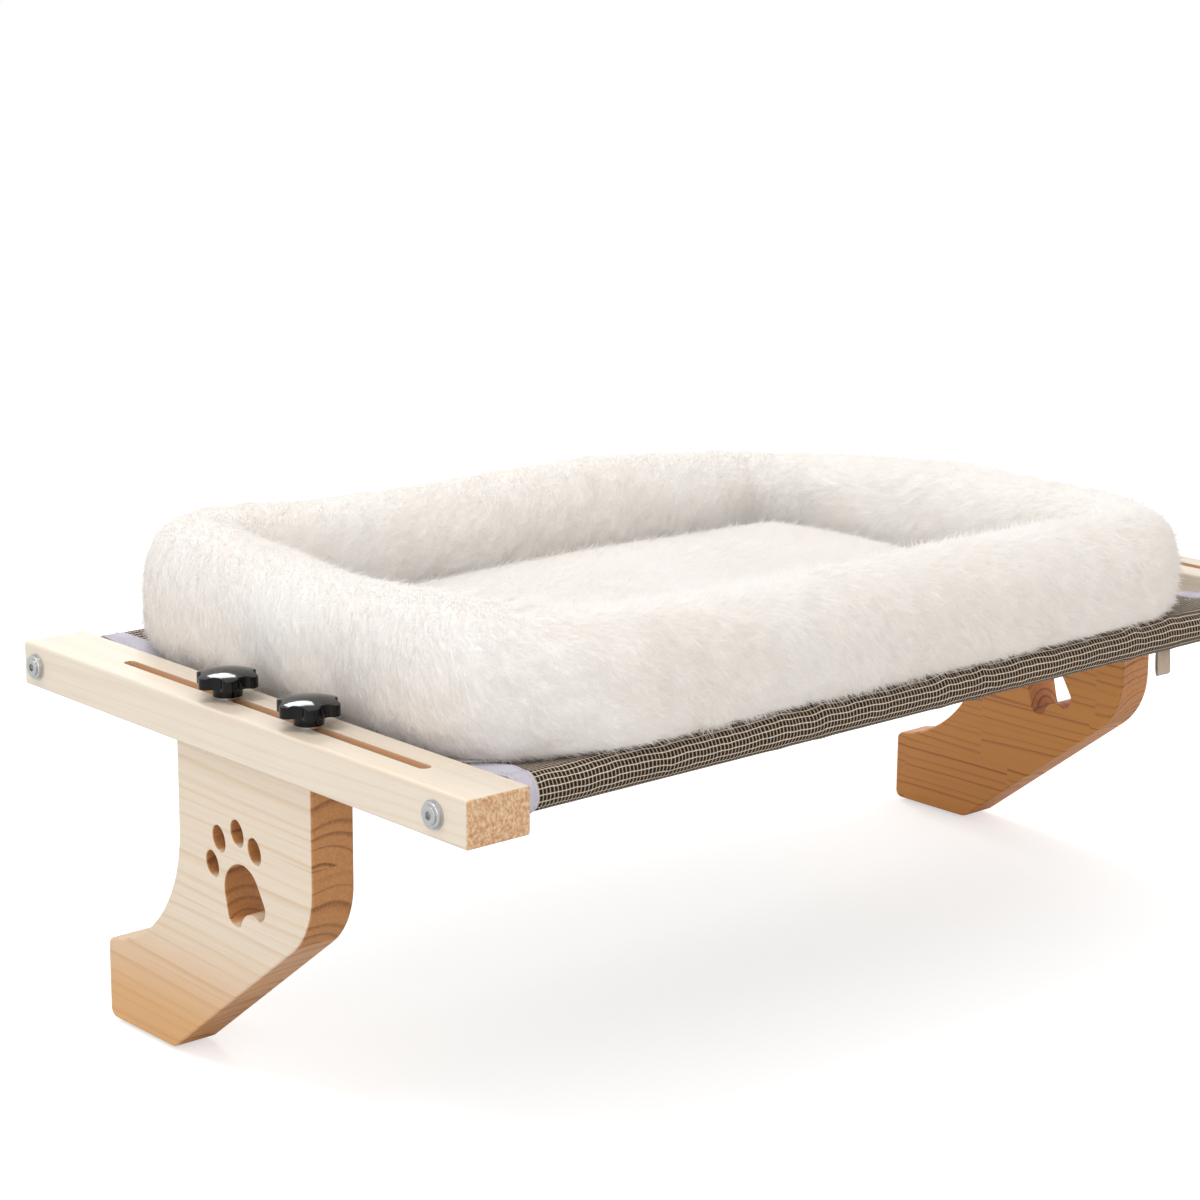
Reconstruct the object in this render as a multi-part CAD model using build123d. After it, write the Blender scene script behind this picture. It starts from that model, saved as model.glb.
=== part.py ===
from build123d import *
from math import cos, radians, sin, sqrt
import os

# A hanging pet bed on two hook brackets, in millimetres.
# The origin is midway between the hooks, at the top of the faces that they hang by: X runs along
# the rods, +Y points from the bed towards the hooks' feet, and Z = 0 is the rails' underside.
# Front is the side that stands out from what the hooks hold, and rear is the side beyond them.

# Rails
frame_width = 664.0
rail_length = 385.0
rail_width = 38.0
rail_height = 24.0
rail_edge = 1.5
front_reach = 246.0
slot_width = 7.0
slot_length = 259.0
slot_front_gap = 52.0

# Rods, their threaded end plugs and the bolts through the rails
rod_diameter = 18.0
rod_wall = 1.5
front_rod_inset = 24.0
rear_rod_inset = 13.0
plug_length = 25.0
bolt_diameter = 6.0
bolt_hole_clearance = 0.4
bolt_reach = 20.0
bolt_head_diameter = 13.0
bolt_head_height = 1.6
bolt_head_round = 0.7
bolt_boss_diameter = 9.4
bolt_boss_height = 0.8
bolt_boss_round = 0.3
bolt_socket_width = 4.0
bolt_socket_sides = 6
bolt_socket_depth = 2.0
bolt_washer_diameter = 14.4
bolt_washer_thickness = 1.2
fit_gap = 0.05

# Sling of woven mesh: a deck between two sleeves, bound with tape along its short ends
sling_thickness = 0.8
sling_end_gap = 4.0
sling_sag = 16.0
sleeve_gap = 0.2
sleeve_seam_inset = 26.0
binding_width = 12.0
binding_thickness = 0.4
tab_width = 12.0
tab_length = 17.0
tab_thickness = 1.4
tab_end_gap = 82.0

# Hook brackets
bracket_thickness = 26.0
neck_depth = 117.5
neck_face_height = 50.0
hook_radius = 80.0
hook_middle_angle = 45.0
foot_reach = 72.0
bracket_height = 175.0
foot_length = 62.0
knee_height = 77.5
knee_radius = 45.0
heel_radius = 10.0
toe_radius = 5.0
bracket_edge = 1.5

# Paw cut-out, laid out on its own axis and then tilted towards the rear
paw_back = 57.0
paw_drop = 72.3
paw_tilt = 22.5
paw_edge = 0.8
pad_crown_radius = 15.3
pad_crown_rise = 0.8
pad_lobe_radius = 6.5
pad_lobe_spread = 10.4
pad_lobe_drop = 8.6
pad_notch_radius = 10.0
pad_notch_drop = 20.2
pad_notch_round = 1.2
toe_half_width = 5.0
toe_half_height = 7.2
inner_toe_spread = 8.8
inner_toe_rise = 31.0
outer_toe_spread = 20.3
outer_toe_rise = 19.7

# Star knobs, their studs and washers, and the threaded inserts in the brackets
stud_diameter = 6.0
front_stud_back = 99.0
rear_stud_back = 29.0
stud_embed = 8.0
stud_reach = 18.0
stud_hole_clearance = 0.5
stud_hole_depth = 30.0
insert_diameter = 10.0
insert_length = 16.0
knob_washer_diameter = 12.0
knob_washer_thickness = 1.2
knob_washer_clearance = 0.2
knob_radius = 16.8
knob_lobes = 6
knob_lobe_radius = 4.4
knob_valley_radius = 13.2
knob_valley_round = 2.5
knob_lobe_height = 5.5
knob_dome_height = 2.8
knob_edge = 0.5
collar_radius = 8.0
collar_foot_radius = 7.7
collar_height = 5.5

# Plush bed: a stuffed bolster round a crowned pad, on an underside cloth
bed_left_gap = 2.0
bed_right_gap = 34.0
bed_depth = 386.0
bed_front_overhang = 14.0
bed_corner_radius = 90.0
bolster_width = 72.0
bolster_height = 78.0
bolster_round = 34.0
bolster_rise = 7.0
bed_gap = 0.7
underside_thickness = 1.2
underside_inset = 10.0
pad_gap = 0.3
pad_rise = 47.0
pad_crown = 10.0

# One overrun serves every cut that has to pass right through.
overrun = 2.0

# Places worked out from the sizes above
rail_x = (frame_width - rail_width) / 2
inner_x = frame_width / 2 - rail_width
rail_y = rail_length / 2 - front_reach
slot_y = slot_front_gap + slot_length / 2 - front_reach
front_rod_y = front_rod_inset - front_reach
rear_rod_y = rail_length - front_reach - rear_rod_inset
rod_z = rail_height / 2
rod_span = rear_rod_y - front_rod_y
rods_y = (front_rod_y + rear_rod_y) / 2
sleeve_radius = rod_diameter / 2 + sleeve_gap + sling_thickness
sling_width = 2 * (inner_x - sling_end_gap)
knob_z = rail_height + knob_washer_thickness
tab_x = sling_width / 2 - tab_end_gap - tab_width / 2
bed_length = 2 * inner_x - bed_left_gap - bed_right_gap
bed_x = (bed_left_gap - bed_right_gap) / 2

# The deck hangs in one arc that touches both sleeves from above.
hang_height = ((rod_span / 2) ** 2 - sling_sag ** 2) / (2 * sling_sag)
hang_z = rod_z + hang_height
deck_radius = hang_height + sling_sag - sleeve_radius
bed_floor_radius = deck_radius - bed_gap
pad_floor_radius = bed_floor_radius - underside_thickness

sides = {"left": -1, "right": 1}
stud_places = {"front": -front_stud_back, "rear": -rear_stud_back}


def facing_out(shape, side, x, y, z):
    """Turn a piece built along +Z so that it points out of the frame on one side, and place it."""
    return Pos(side * x, y, z) * Rot(0, 90 * side, 0) * shape


def pair(shapes):
    """Group separate solids as one part."""
    return Compound(children=list(shapes))


def rail(side):
    """One slotted end rail, drilled for the two frame bolts."""
    block = Box(rail_width, rail_length, rail_height)
    block = fillet(block.edges(), rail_edge)
    block = Pos(side * rail_x, rail_y, rod_z) * block
    slot = extrude(Rot(0, 0, 90) * SlotOverall(slot_length, slot_width), rail_height + overrun)
    block -= Pos(side * rail_x, slot_y, -overrun / 2) * slot
    hole = Cylinder(bolt_diameter / 2 + bolt_hole_clearance, rail_width + overrun)
    for y in (front_rod_y, rear_rod_y):
        block -= facing_out(hole, side, rail_x, y, rod_z)
    return block


def rod(y):
    """One cross tube, butted between the rails."""
    tube = Cylinder(rod_diameter / 2, 2 * inner_x) - Cylinder(rod_diameter / 2 - rod_wall, 2 * inner_x)
    return Pos(0, y, rod_z) * Rot(0, 90, 0) * tube


def rod_plugs(y):
    """The two threaded plugs pressed into the ends of one rod."""
    plug = Cylinder(rod_diameter / 2 - rod_wall - fit_gap, plug_length)
    plug -= Cylinder(bolt_diameter / 2 + fit_gap, plug_length)
    return pair(facing_out(plug, side, inner_x - plug_length / 2, y, rod_z) for side in sides.values())


def frame_bolt():
    """A flat-head furniture bolt above Z = 0, with a hexagon socket in a low boss."""
    head = extrude(Circle(bolt_head_diameter / 2), bolt_head_height)
    head = fillet(head.edges().group_by(Axis.Z)[-1], bolt_head_round)
    top = bolt_head_height + bolt_boss_height
    boss = extrude(Circle(bolt_boss_diameter / 2), top)
    head += fillet(boss.edges().group_by(Axis.Z)[-1], bolt_boss_round)
    socket = extrude(RegularPolygon(bolt_socket_width / 2, bolt_socket_sides, major_radius=False), bolt_socket_depth)
    head -= Pos(0, 0, top - bolt_socket_depth) * socket
    shank = extrude(Circle(bolt_diameter / 2), -(bolt_washer_thickness + rail_width + bolt_reach))
    return head + shank


def frame_bolts(side):
    """The two bolts that hold one rail to the rods."""
    seat = frame_width / 2 + bolt_washer_thickness
    return pair(facing_out(frame_bolt(), side, seat, y, rod_z) for y in (front_rod_y, rear_rod_y))


def frame_washers(side):
    """The two washers under the bolt heads of one rail."""
    ring = Circle(bolt_washer_diameter / 2) - Circle(bolt_diameter / 2 + fit_gap)
    washer = extrude(ring, bolt_washer_thickness)
    return pair(facing_out(washer, side, frame_width / 2, y, rod_z) for y in (front_rod_y, rear_rod_y))


def hang_point(radius, y):
    """The point of an arc about the hanging centre that lies below or above one place in Y."""
    return (y, hang_z - sqrt(radius ** 2 - (y - rods_y) ** 2))


def deck(grow):
    """The hanging deck in section, its two faces moved out by grow."""
    reach = rod_span / 2
    top, low = deck_radius - grow, deck_radius + sling_thickness + grow
    share = reach / (deck_radius + sleeve_radius)
    lines = []
    for radius in (top, low):
        ends = [hang_point(radius, rods_y + sign * radius * share) for sign in (-1, 1)]
        lines.append((ends[0], hang_point(radius, rods_y), ends[1]))
    (a, b, c), (d, e, f) = lines
    return make_face([ThreePointArc(a, b, c), Line(c, f), ThreePointArc(f, e, d), Line(d, a)])


def sleeve(y, radius, seam_radius):
    """One sleeve in section: cloth laid round a rod and sewn to the deck's underside."""
    seam_y = y + (sleeve_seam_inset if y < rods_y else -sleeve_seam_inset)
    seam = hang_point(deck_radius + 2 * sling_thickness, seam_y)
    rings = Pos(y, rod_z) * Circle(radius) + Pos(*seam) * Circle(seam_radius)
    return make_hull(rings.edges())


def sling_outline(grow):
    """The sling's outer outline in section, moved out by grow."""
    outline = deck(grow)
    for y in (front_rod_y, rear_rod_y):
        outline += sleeve(y, sleeve_radius + grow, 2 * sling_thickness + grow)
    return outline


def along_rods(section, start, length):
    """Extrude a section drawn in Y and Z along the rods."""
    return Pos(start, 0, 0) * extrude(Plane.YZ * section, length)


def sling():
    """The mesh panel with its two sleeves."""
    section = sling_outline(0)
    for y in (front_rod_y, rear_rod_y):
        section -= sleeve(y, sleeve_radius - sling_thickness, sling_thickness)
    return along_rods(section, -sling_width / 2, sling_width)


def sling_binding(side):
    """The tape sewn over one short end of the sling."""
    section = sling_outline(binding_thickness) - sling_outline(0)
    start = sling_width / 2 - binding_width if side > 0 else -sling_width / 2
    return along_rods(section, start, binding_width)


def sling_tab():
    """The small folded tab sewn under the front sleeve."""
    tab = Box(tab_width, tab_thickness, tab_length)
    return Pos(tab_x, front_rod_y, rod_z - sleeve_radius - tab_length / 2) * tab


def nearest_corner(sketch, point):
    """The corner of a sketch that lies nearest to a point."""
    return sketch.vertices().sort_by_distance(Vector(*point))[0]


def bracket_outline():
    """The hook bracket's side, in Y and Z."""
    tip_drop = sqrt(hook_radius ** 2 - (hook_radius - foot_reach) ** 2)
    front_top, neck_top = (-neck_depth, 0), (0, 0)
    neck_foot = (0, -neck_face_height)
    turn = radians(hook_middle_angle)
    hook = (hook_radius * (1 - cos(turn)), -neck_face_height - hook_radius * sin(turn))
    tip = (foot_reach, -neck_face_height - tip_drop)
    toe = (foot_reach, -bracket_height)
    heel = (foot_reach - foot_length, -bracket_height)
    knee = (-neck_depth, -knee_height)
    edges = [Line(front_top, neck_top), Line(neck_top, neck_foot), ThreePointArc(neck_foot, hook, tip)]
    edges += [Line(tip, toe), Line(toe, heel), Line(heel, knee), Line(knee, front_top)]
    outline = make_face(edges)
    for point, radius in ((knee, knee_radius), (heel, heel_radius), (toe, toe_radius), (tip, toe_radius)):
        outline = fillet(nearest_corner(outline, point), radius)
    return outline


def paw_outline():
    """The paw cut-out: a lobed pad below four toes."""
    lobes = Pos(0, pad_crown_rise) * Circle(pad_crown_radius)
    for sign in (-1, 1):
        lobes += Pos(sign * pad_lobe_spread, -pad_lobe_drop) * Circle(pad_lobe_radius)
    pad = make_hull(lobes.edges())
    pad -= Pos(0, -pad_notch_drop) * Circle(pad_notch_radius)
    pad = fillet(pad.vertices().group_by(Axis.Y)[0], pad_notch_round)
    toes = [(inner_toe_spread, inner_toe_rise), (outer_toe_spread, outer_toe_rise)]
    paw = pad
    for spread, rise in toes:
        for sign in (-1, 1):
            paw += Pos(sign * spread, rise) * Ellipse(toe_half_width, toe_half_height)
    return Pos(-paw_back, -paw_drop) * Rot(0, 0, -paw_tilt) * paw


def side_faces(plate):
    """The two broad faces of a plate whose outline lies in Y and Z."""
    by_place = plate.faces().sort_by(Axis.X)
    return by_place[0], by_place[-1]


def bracket(side):
    """One hook bracket, with its paw cut-out and the holes for the studs and inserts."""
    start = side * rail_x - bracket_thickness / 2
    plate = along_rods(bracket_outline(), start, bracket_thickness)
    edges = [edge for face in side_faces(plate) for edge in face.edges() if edge.center().Z < -bracket_edge]
    plate = fillet(edges, bracket_edge)
    plate -= along_rods(paw_outline(), start - overrun / 2, bracket_thickness + overrun)
    rims = [edge for face in side_faces(plate) for wire in face.inner_wires() for edge in wire.edges()]
    plate = fillet(rims, paw_edge)
    for y in stud_places.values():
        seat = Pos(side * rail_x, y, 0)
        plate -= seat * extrude(Circle(insert_diameter / 2 + fit_gap), -insert_length)
        plate -= seat * extrude(Circle(stud_diameter / 2 + stud_hole_clearance), -stud_hole_depth)
    return plate


def bracket_inserts(side):
    """The two threaded inserts in the top of one bracket."""
    ring = Circle(insert_diameter / 2) - Circle(stud_diameter / 2 + fit_gap)
    insert = extrude(ring, -insert_length)
    return pair(Pos(side * rail_x, y, 0) * insert for y in stud_places.values())


def knob_washer(side, y):
    """The washer between one knob and the rail."""
    ring = Circle(knob_washer_diameter / 2) - Circle(stud_diameter / 2 + knob_washer_clearance)
    return Pos(side * rail_x, y, rail_height) * extrude(ring, knob_washer_thickness)


def off_axis(edge):
    """How far the middle of an edge lies from the Z axis."""
    return sqrt(edge.center().X ** 2 + edge.center().Y ** 2)


def knob(side, y):
    """One star knob: a tapered collar under a lobed head with a domed top."""
    star = Circle(knob_valley_radius)
    star += PolarLocations(knob_radius - knob_lobe_radius, knob_lobes) * Circle(knob_lobe_radius)
    star = fillet(star.vertices(), knob_valley_round)
    head = Pos(0, 0, collar_height) * extrude(star, knob_lobe_height + knob_dome_height)
    dome_radius = (knob_radius ** 2 + knob_dome_height ** 2) / (2 * knob_dome_height)
    top = collar_height + knob_lobe_height + knob_dome_height
    head &= Pos(0, 0, top - dome_radius) * Sphere(dome_radius)
    rim_height = collar_height + knob_lobe_height - knob_edge
    rim = [edge for edge in head.edges() if edge.center().Z > rim_height and off_axis(edge) > collar_radius]
    head = fillet(rim, knob_edge)
    collar = Pos(0, 0, collar_height / 2) * Cone(collar_foot_radius, collar_radius, collar_height)
    body = head + collar - extrude(Circle(stud_diameter / 2), stud_embed)
    return Pos(side * rail_x, y, knob_z) * body


def stud(side, y):
    """The threaded stud that one knob turns in its insert."""
    length = stud_embed + knob_z + stud_reach
    return Pos(side * rail_x, y, -stud_reach) * extrude(Circle(stud_diameter / 2), length)


def bed_place(z):
    """The middle of the bed at one height."""
    return Pos(bed_x, front_rod_y - bed_front_overhang + bed_depth / 2, z)


def above_deck(shape, radius):
    """Keep what lies above an arc about the hanging centre, so that it lies on the deck."""
    reach = 2 * frame_width
    return shape & (Pos(0, rods_y, hang_z) * Rot(0, 90, 0) * Cylinder(radius, reach))


def bed_plan(inset):
    """The bed's plan, drawn in by inset all round."""
    length, depth = bed_length - 2 * inset, bed_depth - 2 * inset
    return RectangleRounded(length, depth, bed_corner_radius - inset)


def bed_bolster():
    """The stuffed rim: a rounded tube swept round the bed and laid on the deck."""
    path = bed_plan(bolster_width / 2).face().outer_wire()
    start = Plane(origin=path @ 0, x_dir=(0, 0, 1), z_dir=path % 0)
    section = start * RectangleRounded(bolster_height, bolster_width, bolster_round)
    tube = sweep(section, path)
    return above_deck(bed_place(bolster_rise + bolster_height / 2) * tube, pad_floor_radius)


def bed_pad():
    """The pad inside the bolster, crowned on top and laid on the underside cloth."""
    pad = bed_place(0) * extrude(bed_plan(bolster_width + pad_gap), pad_rise)
    half_diagonal = sqrt((bed_length / 2 - bolster_width) ** 2 + (bed_depth / 2 - bolster_width) ** 2)
    crown_radius = (half_diagonal ** 2 + pad_crown ** 2) / (2 * pad_crown)
    pad &= bed_place(pad_rise - crown_radius) * Sphere(crown_radius)
    return above_deck(pad, pad_floor_radius)


def bed_underside():
    """The cloth sewn under the bed."""
    sheet = bed_place(0) * extrude(bed_plan(underside_inset), pad_rise)
    low = above_deck(sheet, bed_floor_radius)
    return low - Pos(0, rods_y, hang_z) * Rot(0, 90, 0) * Cylinder(pad_floor_radius, 2 * frame_width)


def all_parts():
    """Every sub-part by the name of its node."""
    parts = {
        "front_rod": rod(front_rod_y),
        "rear_rod": rod(rear_rod_y),
        "front_rod_plugs": rod_plugs(front_rod_y),
        "rear_rod_plugs": rod_plugs(rear_rod_y),
        "sling": sling(),
        "sling_tab": sling_tab(),
        "bed_bolster": bed_bolster(),
        "bed_pad": bed_pad(),
        "bed_underside": bed_underside(),
    }
    for name, side in sides.items():
        parts[f"{name}_rail"] = rail(side)
        parts[f"{name}_frame_bolts"] = frame_bolts(side)
        parts[f"{name}_frame_washers"] = frame_washers(side)
        parts[f"{name}_sling_binding"] = sling_binding(side)
        parts[f"{name}_bracket"] = bracket(side)
        parts[f"{name}_bracket_inserts"] = bracket_inserts(side)
        for end, y in stud_places.items():
            parts[f"{name}_{end}_knob_washer"] = knob_washer(side, y)
            parts[f"{name}_{end}_knob"] = knob(side, y)
            parts[f"{name}_{end}_stud"] = stud(side, y)
    return parts


os.makedirs("parts", exist_ok=True)
for node, shape in all_parts().items():
    export_step(shape, f"parts/{node}.step")
    print(node, len(shape.solids()), round(shape.volume))
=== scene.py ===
"""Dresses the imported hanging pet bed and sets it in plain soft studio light.

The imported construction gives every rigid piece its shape, and this file gives those pieces their finish.
The soft pieces are built here: the mesh sling with its tape and tab, and the plush bed. Lengths are in
metres in the construction's own frame, with +Z up and the bed's open side towards -Y.
"""

import logging
import math
from dataclasses import dataclass
from enum import Enum
from typing import Any, Sequence

import bmesh
import bpy
import numpy as np
from mathutils import Matrix, Vector


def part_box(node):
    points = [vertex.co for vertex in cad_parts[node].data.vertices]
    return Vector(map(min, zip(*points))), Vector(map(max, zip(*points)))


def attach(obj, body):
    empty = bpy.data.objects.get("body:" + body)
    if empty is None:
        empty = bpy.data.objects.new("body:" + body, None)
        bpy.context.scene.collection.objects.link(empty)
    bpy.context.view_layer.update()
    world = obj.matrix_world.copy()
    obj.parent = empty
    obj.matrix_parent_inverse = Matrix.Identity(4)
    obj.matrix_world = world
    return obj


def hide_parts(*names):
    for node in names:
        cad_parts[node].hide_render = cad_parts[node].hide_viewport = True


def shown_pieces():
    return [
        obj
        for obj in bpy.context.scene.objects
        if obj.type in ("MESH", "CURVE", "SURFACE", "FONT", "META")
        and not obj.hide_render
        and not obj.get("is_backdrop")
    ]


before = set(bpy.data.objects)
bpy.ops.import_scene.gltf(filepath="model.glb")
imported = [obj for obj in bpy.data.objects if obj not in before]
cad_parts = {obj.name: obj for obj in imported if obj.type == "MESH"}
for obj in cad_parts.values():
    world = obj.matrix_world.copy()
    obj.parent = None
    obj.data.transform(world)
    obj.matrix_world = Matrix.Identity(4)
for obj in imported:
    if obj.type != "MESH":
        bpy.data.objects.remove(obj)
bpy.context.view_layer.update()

log = logging.getLogger("pet_bed")

MM = 0.001
MATH = "ShaderNodeMath"
VECTOR = "ShaderNodeVectorMath"
NOISE = "ShaderNodeTexNoise"
CHANCE = "ShaderNodeTexWhiteNoise"
RANGE = "ShaderNodeMapRange"
MIX = "ShaderNodeMix"
ALIGN = "FunctionNodeAlignRotationToVector"
NAMED = "GeometryNodeInputNamedAttribute"
STORE = "GeometryNodeStoreNamedAttribute"
Array = np.ndarray
Piece = bpy.types.Object
Tree = bpy.types.NodeTree
Colour = tuple[float, float, float, float]
Point = tuple[float, float, float]
Span = tuple[float, float]
Inputs = dict[Any, Any]


def linear(code: str) -> Colour:
    """Turns an sRGB hex colour into the linear colour that a shader takes.

    Args:
        code: Six hex digits, such as "F2E8DA".

    Returns:
        Linear red, green, blue and an alpha of 1.
    """
    parts = [int(code[i : i + 2], 16) / 255 for i in (0, 2, 4)]
    red, green, blue = (p / 12.92 if p <= 0.04045 else ((p + 0.055) / 1.055) ** 2.4 for p in parts)
    return (red, green, blue, 1.0)


@dataclass(frozen=True)
class Wire:
    """A value on its way between two nodes, so that a pattern reads as a formula."""

    socket: bpy.types.NodeSocket

    @property
    def tree(self) -> Tree:
        """The tree that the value is in."""
        return self.socket.id_data

    def into(self, kind: str, inputs: Inputs | None = None, out: Any = 0, **settings: Any) -> "Wire":
        """Leads the value into the first input of a new node, and hands on one of its outputs."""
        return made(self.tree, kind, {0: self} | (inputs or {}), out, **settings)

    def math(self, operation: str, *others: Any) -> "Wire":
        """Works the value through one step of arithmetic."""
        return self.into(MATH, dict(enumerate(others, 1)), operation=operation)

    def vector(self, operation: str, *others: Any, out: Any = 0) -> "Wire":
        """Works a vector through one step of arithmetic."""
        return self.into(VECTOR, dict(enumerate(others, 1)), out, operation=operation)

    def __add__(self, other: Any) -> "Wire":
        """Adds a number."""
        return self.math("ADD", other)

    def __sub__(self, other: Any) -> "Wire":
        """Takes a number away."""
        return self.math("SUBTRACT", other)

    def __mul__(self, other: Any) -> "Wire":
        """Multiplies by a number."""
        return self.math("MULTIPLY", other)

    def __truediv__(self, other: Any) -> "Wire":
        """Divides by a number."""
        return self.math("DIVIDE", other)

    def scaled(self, amount: Any) -> "Wire":
        """Multiplies a colour or a vector by a number."""
        return self.into(VECTOR, {"Scale": amount}, operation="SCALE")

    def tinting(self, code: str) -> "Wire":
        """Multiplies an sRGB hex colour by the value."""
        return made(self.tree, VECTOR, {0: linear(code)[:3], "Scale": self}, operation="SCALE")

    def span(self, low: float = 0, high: float = 1, start: float = 0, stop: float = 1, **how: Any) -> "Wire":
        """Maps the values from low to high onto those from start to stop."""
        return self.into(RANGE, {1: low, 2: high, 3: start, 4: stop}, **how)

    def ramp(self, ends: Span, low: float = 0, high: float = 1) -> "Wire":
        """Maps the values from low to high onto those between two ends."""
        return self.span(low, high, *ends)

    def eased(self, low: float, high: float) -> "Wire":
        """Eases the value from 0 at low to 1 at high."""
        return self.span(low, high, interpolation_type="SMOOTHSTEP")

    def noise(self, scale: float, detail: float, out: str = "Fac") -> "Wire":
        """Reads a soft noise at the place that the wire carries."""
        return self.into(NOISE, {"Scale": scale, "Detail": detail}, out)

    def blend(self, first: Any, second: Any, **how: Any) -> "Wire":
        """Goes from the first colour at 0 to the second at 1."""
        return self.into(MIX, {6: first, 7: second}, 2, data_type="RGBA", **how)

    def bump(self, strength: float, distance: float) -> "Wire":
        """Turns a height into the direction that a shader faces."""
        return made(self.tree, "ShaderNodeBump", {"Strength": strength, "Distance": distance, "Height": self})

    def parts(self) -> list["Wire"]:
        """Splits a vector into X, Y and Z."""
        return [Wire(out) for out in add(self.tree, "ShaderNodeSeparateXYZ", {0: self}).outputs]

    def joined(self, y: Any = 0.0, z: Any = 0.0) -> "Wire":
        """Makes a vector whose X is this value."""
        return self.into("ShaderNodeCombineXYZ", {1: y, 2: z})


def feed(node: bpy.types.Node, inputs: Inputs) -> None:
    """Sets a node's inputs, and links those that come from another node.

    Args:
        node: The node.
        inputs: Values, wires or output sockets, by input name or number.
    """
    for key, value in inputs.items():
        value = value.socket if isinstance(value, Wire) else value
        if isinstance(value, bpy.types.NodeSocket):
            node.id_data.links.new(value, node.inputs[key])
        else:
            node.inputs[key].default_value = value


def add(tree: Tree, kind: str, inputs: Inputs | None = None, **settings: Any) -> Any:
    """Adds one node with its settings and links.

    Args:
        tree: The node tree that gets the node.
        kind: The node's type name.
        inputs: What feed takes.
        **settings: Properties of the node itself.

    Returns:
        The new node.
    """
    node = tree.nodes.new(kind)
    for key, value in settings.items():
        setattr(node, key, value)
    feed(node, inputs or {})
    return node


def made(tree: Tree, kind: str, inputs: Inputs | None = None, out: Any = 0, **how: Any) -> Wire:
    """Adds one node with its settings and links, and hands on one of its outputs."""
    return Wire(add(tree, kind, inputs, **how).outputs[out])


def chance(tree: Tree, low: float, high: float, seed: int) -> Wire:
    """Draws a number between low and high for each point."""
    return made(tree, "FunctionNodeRandomValue", {2: low, 3: high, "Seed": seed}, 1, data_type="FLOAT")


def coordinates(tree: Tree, kind: str = "Object") -> Wire:
    """Reads the place on the piece, or with another kind its normal or its UV map."""
    return made(tree, "ShaderNodeTexCoord", out=kind)


def smooth(low: float, high: float, value: Any) -> Any:
    """Eases a number, or each number of an array, from 0 at low to 1 at high."""
    share = np.clip((np.asarray(value, float) - low) / (high - low), 0, 1)
    return share * share * (3 - 2 * share)


def link(name: str, data: bpy.types.ID) -> Piece:
    """Puts a mesh, a lamp or a camera in the scene at the origin.

    Args:
        name: The new object's name.
        data: The mesh, lamp or camera.

    Returns:
        The new object.
    """
    thing = bpy.data.objects.new(name, data)
    bpy.context.scene.collection.objects.link(thing)
    return thing


def shade_smooth(mesh: bpy.types.Mesh) -> None:
    """Shades every face of a mesh smooth."""
    mesh.polygons.foreach_set("use_smooth", [True] * len(mesh.polygons))


def mesh_piece(name: str, points: Array, faces: Sequence[Sequence[int]]) -> Piece:
    """Makes a smooth-shaded mesh object at the origin.

    Args:
        name: The piece's name.
        points: The vertices' places, one a row or in a grid.
        faces: Vertex numbers of each face.

    Returns:
        The new object, linked to the scene.
    """
    mesh = bpy.data.meshes.new(name)
    mesh.from_pydata(points.reshape(-1, 3).tolist(), [], [list(map(int, f)) for f in faces])
    mesh.update()
    shade_smooth(mesh)
    return link(name, mesh)


def grid_faces(rows: int, columns: int, wrap_rows: bool = False, wrap_columns: bool = False) -> list[tuple]:
    """Lists the quads of a grid whose vertices run row by row.

    Args:
        rows: How many rows of vertices.
        columns: How many vertices in a row.
        wrap_rows: Whether the last row joins the first.
        wrap_columns: Whether a row's last vertex joins its first.

    Returns:
        Four vertex numbers for each quad.
    """
    faces = []
    for i in range(rows if wrap_rows else rows - 1):
        for j in range(columns if wrap_columns else columns - 1):
            k, n = (i + 1) % rows, (j + 1) % columns
            faces.append((i * columns + j, k * columns + j, k * columns + n, i * columns + n))
    return faces


def plain_mesh(piece: Piece) -> None:
    """Replaces a piece's mesh by what its modifiers make of it, and removes the modifiers.

    Args:
        piece: The piece.
    """
    graph = bpy.context.evaluated_depsgraph_get()
    mesh = bpy.data.meshes.new_from_object(piece.evaluated_get(graph))
    piece.modifiers.clear()
    piece.data = mesh


def node_group(name: str, sizes: Sequence[str], counts: Sequence[str] = ()) -> tuple[Any, dict[str, Wire]]:
    """Starts a geometry tree that takes and returns a geometry.

    Args:
        name: The tree's name.
        sizes: The names of its number inputs.
        counts: The names of its whole-number inputs.

    Returns:
        The tree, and a wire from each of its inputs.
    """
    tree = bpy.data.node_groups.new(name, "GeometryNodeTree")
    inputs = [("Geometry", "NodeSocketGeometry")] + [(size, "NodeSocketFloat") for size in sizes]
    for label, kind in inputs + [(count, "NodeSocketInt") for count in counts]:
        tree.interface.new_socket(label, in_out="INPUT", socket_type=kind)
    tree.interface.new_socket("Geometry", in_out="OUTPUT", socket_type="NodeSocketGeometry")
    return tree, {out.name: Wire(out) for out in add(tree, "NodeGroupInput").outputs}


def run_nodes(piece: Piece, tree: Tree, values: dict[str, float]) -> None:
    """Runs a geometry tree on a piece and keeps the result as its plain mesh.

    Args:
        piece: The piece that the tree reads and replaces.
        tree: A geometry node tree with named inputs.
        values: The inputs to set, by their names.
    """
    modifier = piece.modifiers.new(tree.name, "NODES")
    modifier.node_group = tree
    for item in tree.interface.items_tree:
        if item.item_type == "SOCKET" and item.in_out == "INPUT" and item.name in values:
            modifier[item.identifier] = values[item.name]
    piece.update_tag()
    bpy.context.view_layer.update()
    plain_mesh(piece)


class Body(Enum):
    """The bodies of the construction that new pieces ride on."""

    FRAME = "frame"
    BED = "bed"


class Side(Enum):
    """The two ends of the frame, with the sign of their place along the rods."""

    LEFT = -1
    RIGHT = 1

    @property
    def word(self) -> str:
        """The side's word in node names."""
        return self.name.lower()


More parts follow.
